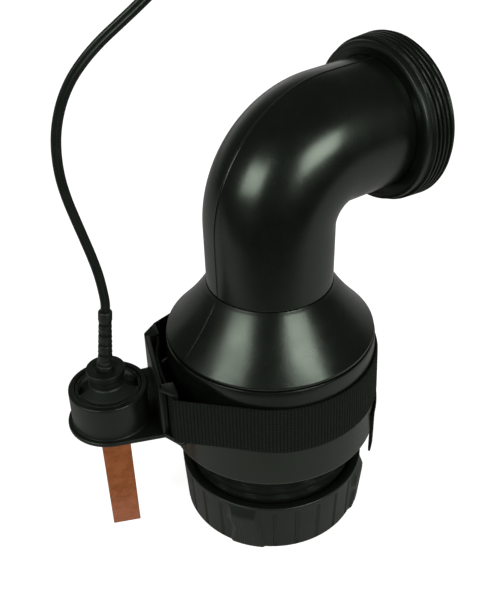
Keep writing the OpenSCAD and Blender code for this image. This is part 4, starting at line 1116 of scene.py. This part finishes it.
# ---------- the stage ----------
# the camera's place in metres, its right, up and backward directions, and its lens in pixels
EYE = Vector((-0.21004, -0.27744, 0.36515))
LOOK = ((0.8049, -0.5930, -0.0208), (0.3496, 0.4455, 0.8242), (-0.4795, -0.6707, 0.5659))
FOCAL_PIXELS, IMAGE_HIGH = 878.0, 592
# the level direction from the object to the camera
FRONT = (-0.5816, -0.8135, 0.0)


def build_camera():
    """The camera, from its three axes, its place and its lens."""
    data = bpy.data.cameras.new("studio_camera")
    data.sensor_fit = "AUTO"
    data.sensor_width = 36.0
    data.lens = data.sensor_width * FOCAL_PIXELS / IMAGE_HIGH
    data.clip_start = 0.01
    made = bpy.data.objects.new("studio_camera", data)
    axes = np.array(LOOK, float)
    axes[0] /= np.linalg.norm(axes[0])
    axes[1] -= axes[0] * np.dot(axes[0], axes[1])
    axes[1] /= np.linalg.norm(axes[1])
    axes[2] = np.cross(axes[0], axes[1])
    place = Matrix([list(axes[:, k]) + [EYE[k]] for k in range(3)] + [[0, 0, 0, 1]])
    made.matrix_world = place
    bpy.context.scene.collection.objects.link(made)
    bpy.context.scene.camera = made


def soft_box(name, azimuth, height, away, wide, tall, bright):
    """A rectangular soft light that looks at the body's middle from a direction in degrees; its
    radiance is its power over pi times its area."""
    data = bpy.data.lights.new(name, "AREA")
    data.shape = "RECTANGLE"
    data.size, data.size_y = wide, tall
    data.energy = bright * math.pi * wide * tall
    made = bpy.data.objects.new(name, data)
    a, e = math.radians(azimuth), math.radians(height)
    ray = Vector((math.cos(e) * math.cos(a), math.cos(e) * math.sin(a), math.sin(e)))
    made.location = Vector((0, 0, 0.14)) + ray * away
    made.rotation_euler = ray.to_track_quat("Z", "Y").to_euler()
    made.visible_camera = False
    bpy.context.scene.collection.objects.link(made)


def build_stage():
    """The floor, the white surroundings and the lights."""
    colours = bpy.context.scene.valve_colours
    floor, tree, shader, place = start_material("painted pale floor")
    shader.inputs["Roughness"].default_value = 0.9
    shader.inputs["Specular IOR Level"].default_value = 0.0
    path = add(tree, "ShaderNodeLightPath")
    shader.inputs["Emission Color"].default_value = (1, 1, 1, 1)
    tree.links.new(times(tree, path.outputs["Is Camera Ray"], 0.86), shader.inputs["Emission Strength"])
    # a pale board that ends some 20 cm in front of the object, for what the plastic mirrors
    front = add(tree, "ShaderNodeVectorMath", {0: place, 1: FRONT}, operation="DOT_PRODUCT")
    ended = between(tree, front.outputs["Value"], 0.14, 0.25, 0, 1)
    beyond = times(tree, ended, path.outputs["Is Glossy Ray"])
    tree.links.new(mixed(tree, beyond, tuple(colours.floor), linear("#303230")), shader.inputs["Base Color"])
    # a square 6 m across, 0.4 mm under the part
    half, under = 3.0, -0.0004
    corners = [(-half, -half, under), (half, -half, under), (half, half, under), (-half, half, under)]
    mesh = bpy.data.meshes.new("floor")
    mesh.from_pydata(corners, [], [[0, 1, 2, 3]])
    mesh.materials.append(floor)
    made = bpy.data.objects.new("floor", mesh)
    bpy.context.scene.collection.objects.link(made)

    world = bpy.data.worlds.new("studio")
    bpy.context.scene.world = world
    world.use_nodes = True
    tree = world.node_tree
    tree.nodes.clear()
    path = add(tree, "ShaderNodeLightPath")
    ray = add(tree, "ShaderNodeTexCoord").outputs["Generated"]
    towards = add(tree, "ShaderNodeVectorMath", {0: ray, 1: LOOK[2]},
                  operation="DOT_PRODUCT").outputs["Value"]
    # white surroundings behind the object, a dim room on the side the lights stand
    room = between(tree, towards, -0.9, -0.4, 0.8, 0.07)
    level = add(tree, "ShaderNodeMix", {0: path.outputs["Is Glossy Ray"], 2: 0.35, 3: room},
                data_type="FLOAT").outputs[0]
    clear = times(tree, path.outputs["Is Camera Ray"], path.outputs["Is Transmission Ray"], "MAXIMUM")
    level = add(tree, "ShaderNodeMix", {0: clear, 2: level, 3: 1.0}, data_type="FLOAT").outputs[0]
    back = add(tree, "ShaderNodeBackground", {"Color": (1, 1, 1, 1), "Strength": level})
    add(tree, "ShaderNodeOutputWorld", {"Surface": back.outputs[0]})

    soft_box("left_soft_box", -173, 29, 1.1, 0.56, 0.40, 7.4)
    soft_box("front_soft_box", -86, 29, 1.1, 0.58, 0.40, 9.0)
    bpy.context.scene.view_settings.view_transform = "Standard"


# ---------- operators and panel ----------
class VALVE_OT_camera(bpy.types.Operator):
    """Place the camera."""
    bl_idname = "valve.camera"
    bl_label = "Camera"

    def execute(self, context):
        build_camera()
        return {"FINISHED"}


class VALVE_OT_cord(bpy.types.Operator):
    """Make the flat cord and its connector."""
    bl_idname = "valve.cord"
    bl_label = "Cord and connector"

    def execute(self, context):
        build_cord()
        return {"FINISHED"}


class VALVE_OT_housing(bpy.types.Operator):
    """Make the elbow, the cone, the collar and the bowl."""
    bl_idname = "valve.housing"
    bl_label = "Housing"

    def execute(self, context):
        build_elbow()
        build_cone()
        build_collar()
        build_bowl()
        return {"FINISHED"}


class VALVE_OT_union_nut(bpy.types.Operator):
    """Make the union nut."""
    bl_idname = "valve.union_nut"
    bl_label = "Union nut"

    def execute(self, context):
        build_nut()
        return {"FINISHED"}


class VALVE_OT_bracket(bpy.types.Operator):
    """Make the probe's bracket."""
    bl_idname = "valve.bracket"
    bl_label = "Probe bracket"

    def execute(self, context):
        build_bracket()
        return {"FINISHED"}


class VALVE_OT_probe(bpy.types.Operator):
    """Make the probe's cap, gland, sleeve and copper bars."""
    bl_idname = "valve.probe"
    bl_label = "Probe"

    def execute(self, context):
        build_probe()
        build_sleeve()
        return {"FINISHED"}


class VALVE_OT_strap(bpy.types.Operator):
    """Make the webbing band and its loose tail."""
    bl_idname = "valve.strap"
    bl_label = "Strap"

    def execute(self, context):
        build_strap()
        return {"FINISHED"}


class VALVE_OT_internals(bpy.types.Operator):
    """Finish the inner pieces that keep their own solids."""
    bl_idname = "valve.internals"
    bl_label = "Inner pieces"

    def execute(self, context):
        finish_kept()
        return {"FINISHED"}


class VALVE_OT_stage(bpy.types.Operator):
    """Make the floor, the surroundings and the lights."""
    bl_idname = "valve.stage"
    bl_label = "Stage"

    def execute(self, context):
        build_stage()
        return {"FINISHED"}


OPERATORS = (VALVE_OT_camera, VALVE_OT_cord, VALVE_OT_housing, VALVE_OT_union_nut, VALVE_OT_bracket,
             VALVE_OT_probe, VALVE_OT_strap, VALVE_OT_internals, VALVE_OT_stage)
GROUPS = {"valve_housing": HousingSizes, "valve_collar": CollarSizes, "valve_union": UnionSizes,
          "valve_bracket": BracketSizes, "valve_probe": ProbeSizes, "valve_strap": StrapSizes,
          "valve_colours": FinishColours}


class VALVE_PT_panel(bpy.types.Panel):
    """Lists the pieces that can be built."""
    bl_label = "Check valve elbow"
    bl_idname = "VALVE_PT_panel"
    bl_space_type = "VIEW_3D"
    bl_region_type = "UI"
    bl_category = "Valve"

    def draw(self, context):
        for kind in OPERATORS:
            self.layout.operator(kind.bl_idname)


def register():
    """Registers the property groups, the operators and the panel."""
    for kind in tuple(GROUPS.values()) + OPERATORS + (VALVE_PT_panel,):
        bpy.utils.register_class(kind)
    for name, kind in GROUPS.items():
        setattr(bpy.types.Scene, name, bpy.props.PointerProperty(type=kind))


def unregister():
    """Takes back what register added."""
    for name in GROUPS:
        delattr(bpy.types.Scene, name)
    for kind in (VALVE_PT_panel,) + OPERATORS[::-1] + tuple(GROUPS.values())[::-1]:
        bpy.utils.unregister_class(kind)


def main():
    """Builds everything in order."""
    register()
    for kind in OPERATORS:
        part, name = kind.bl_idname.split(".")
        getattr(getattr(bpy.ops, part), name)()


if __name__ == "__main__":
    main()
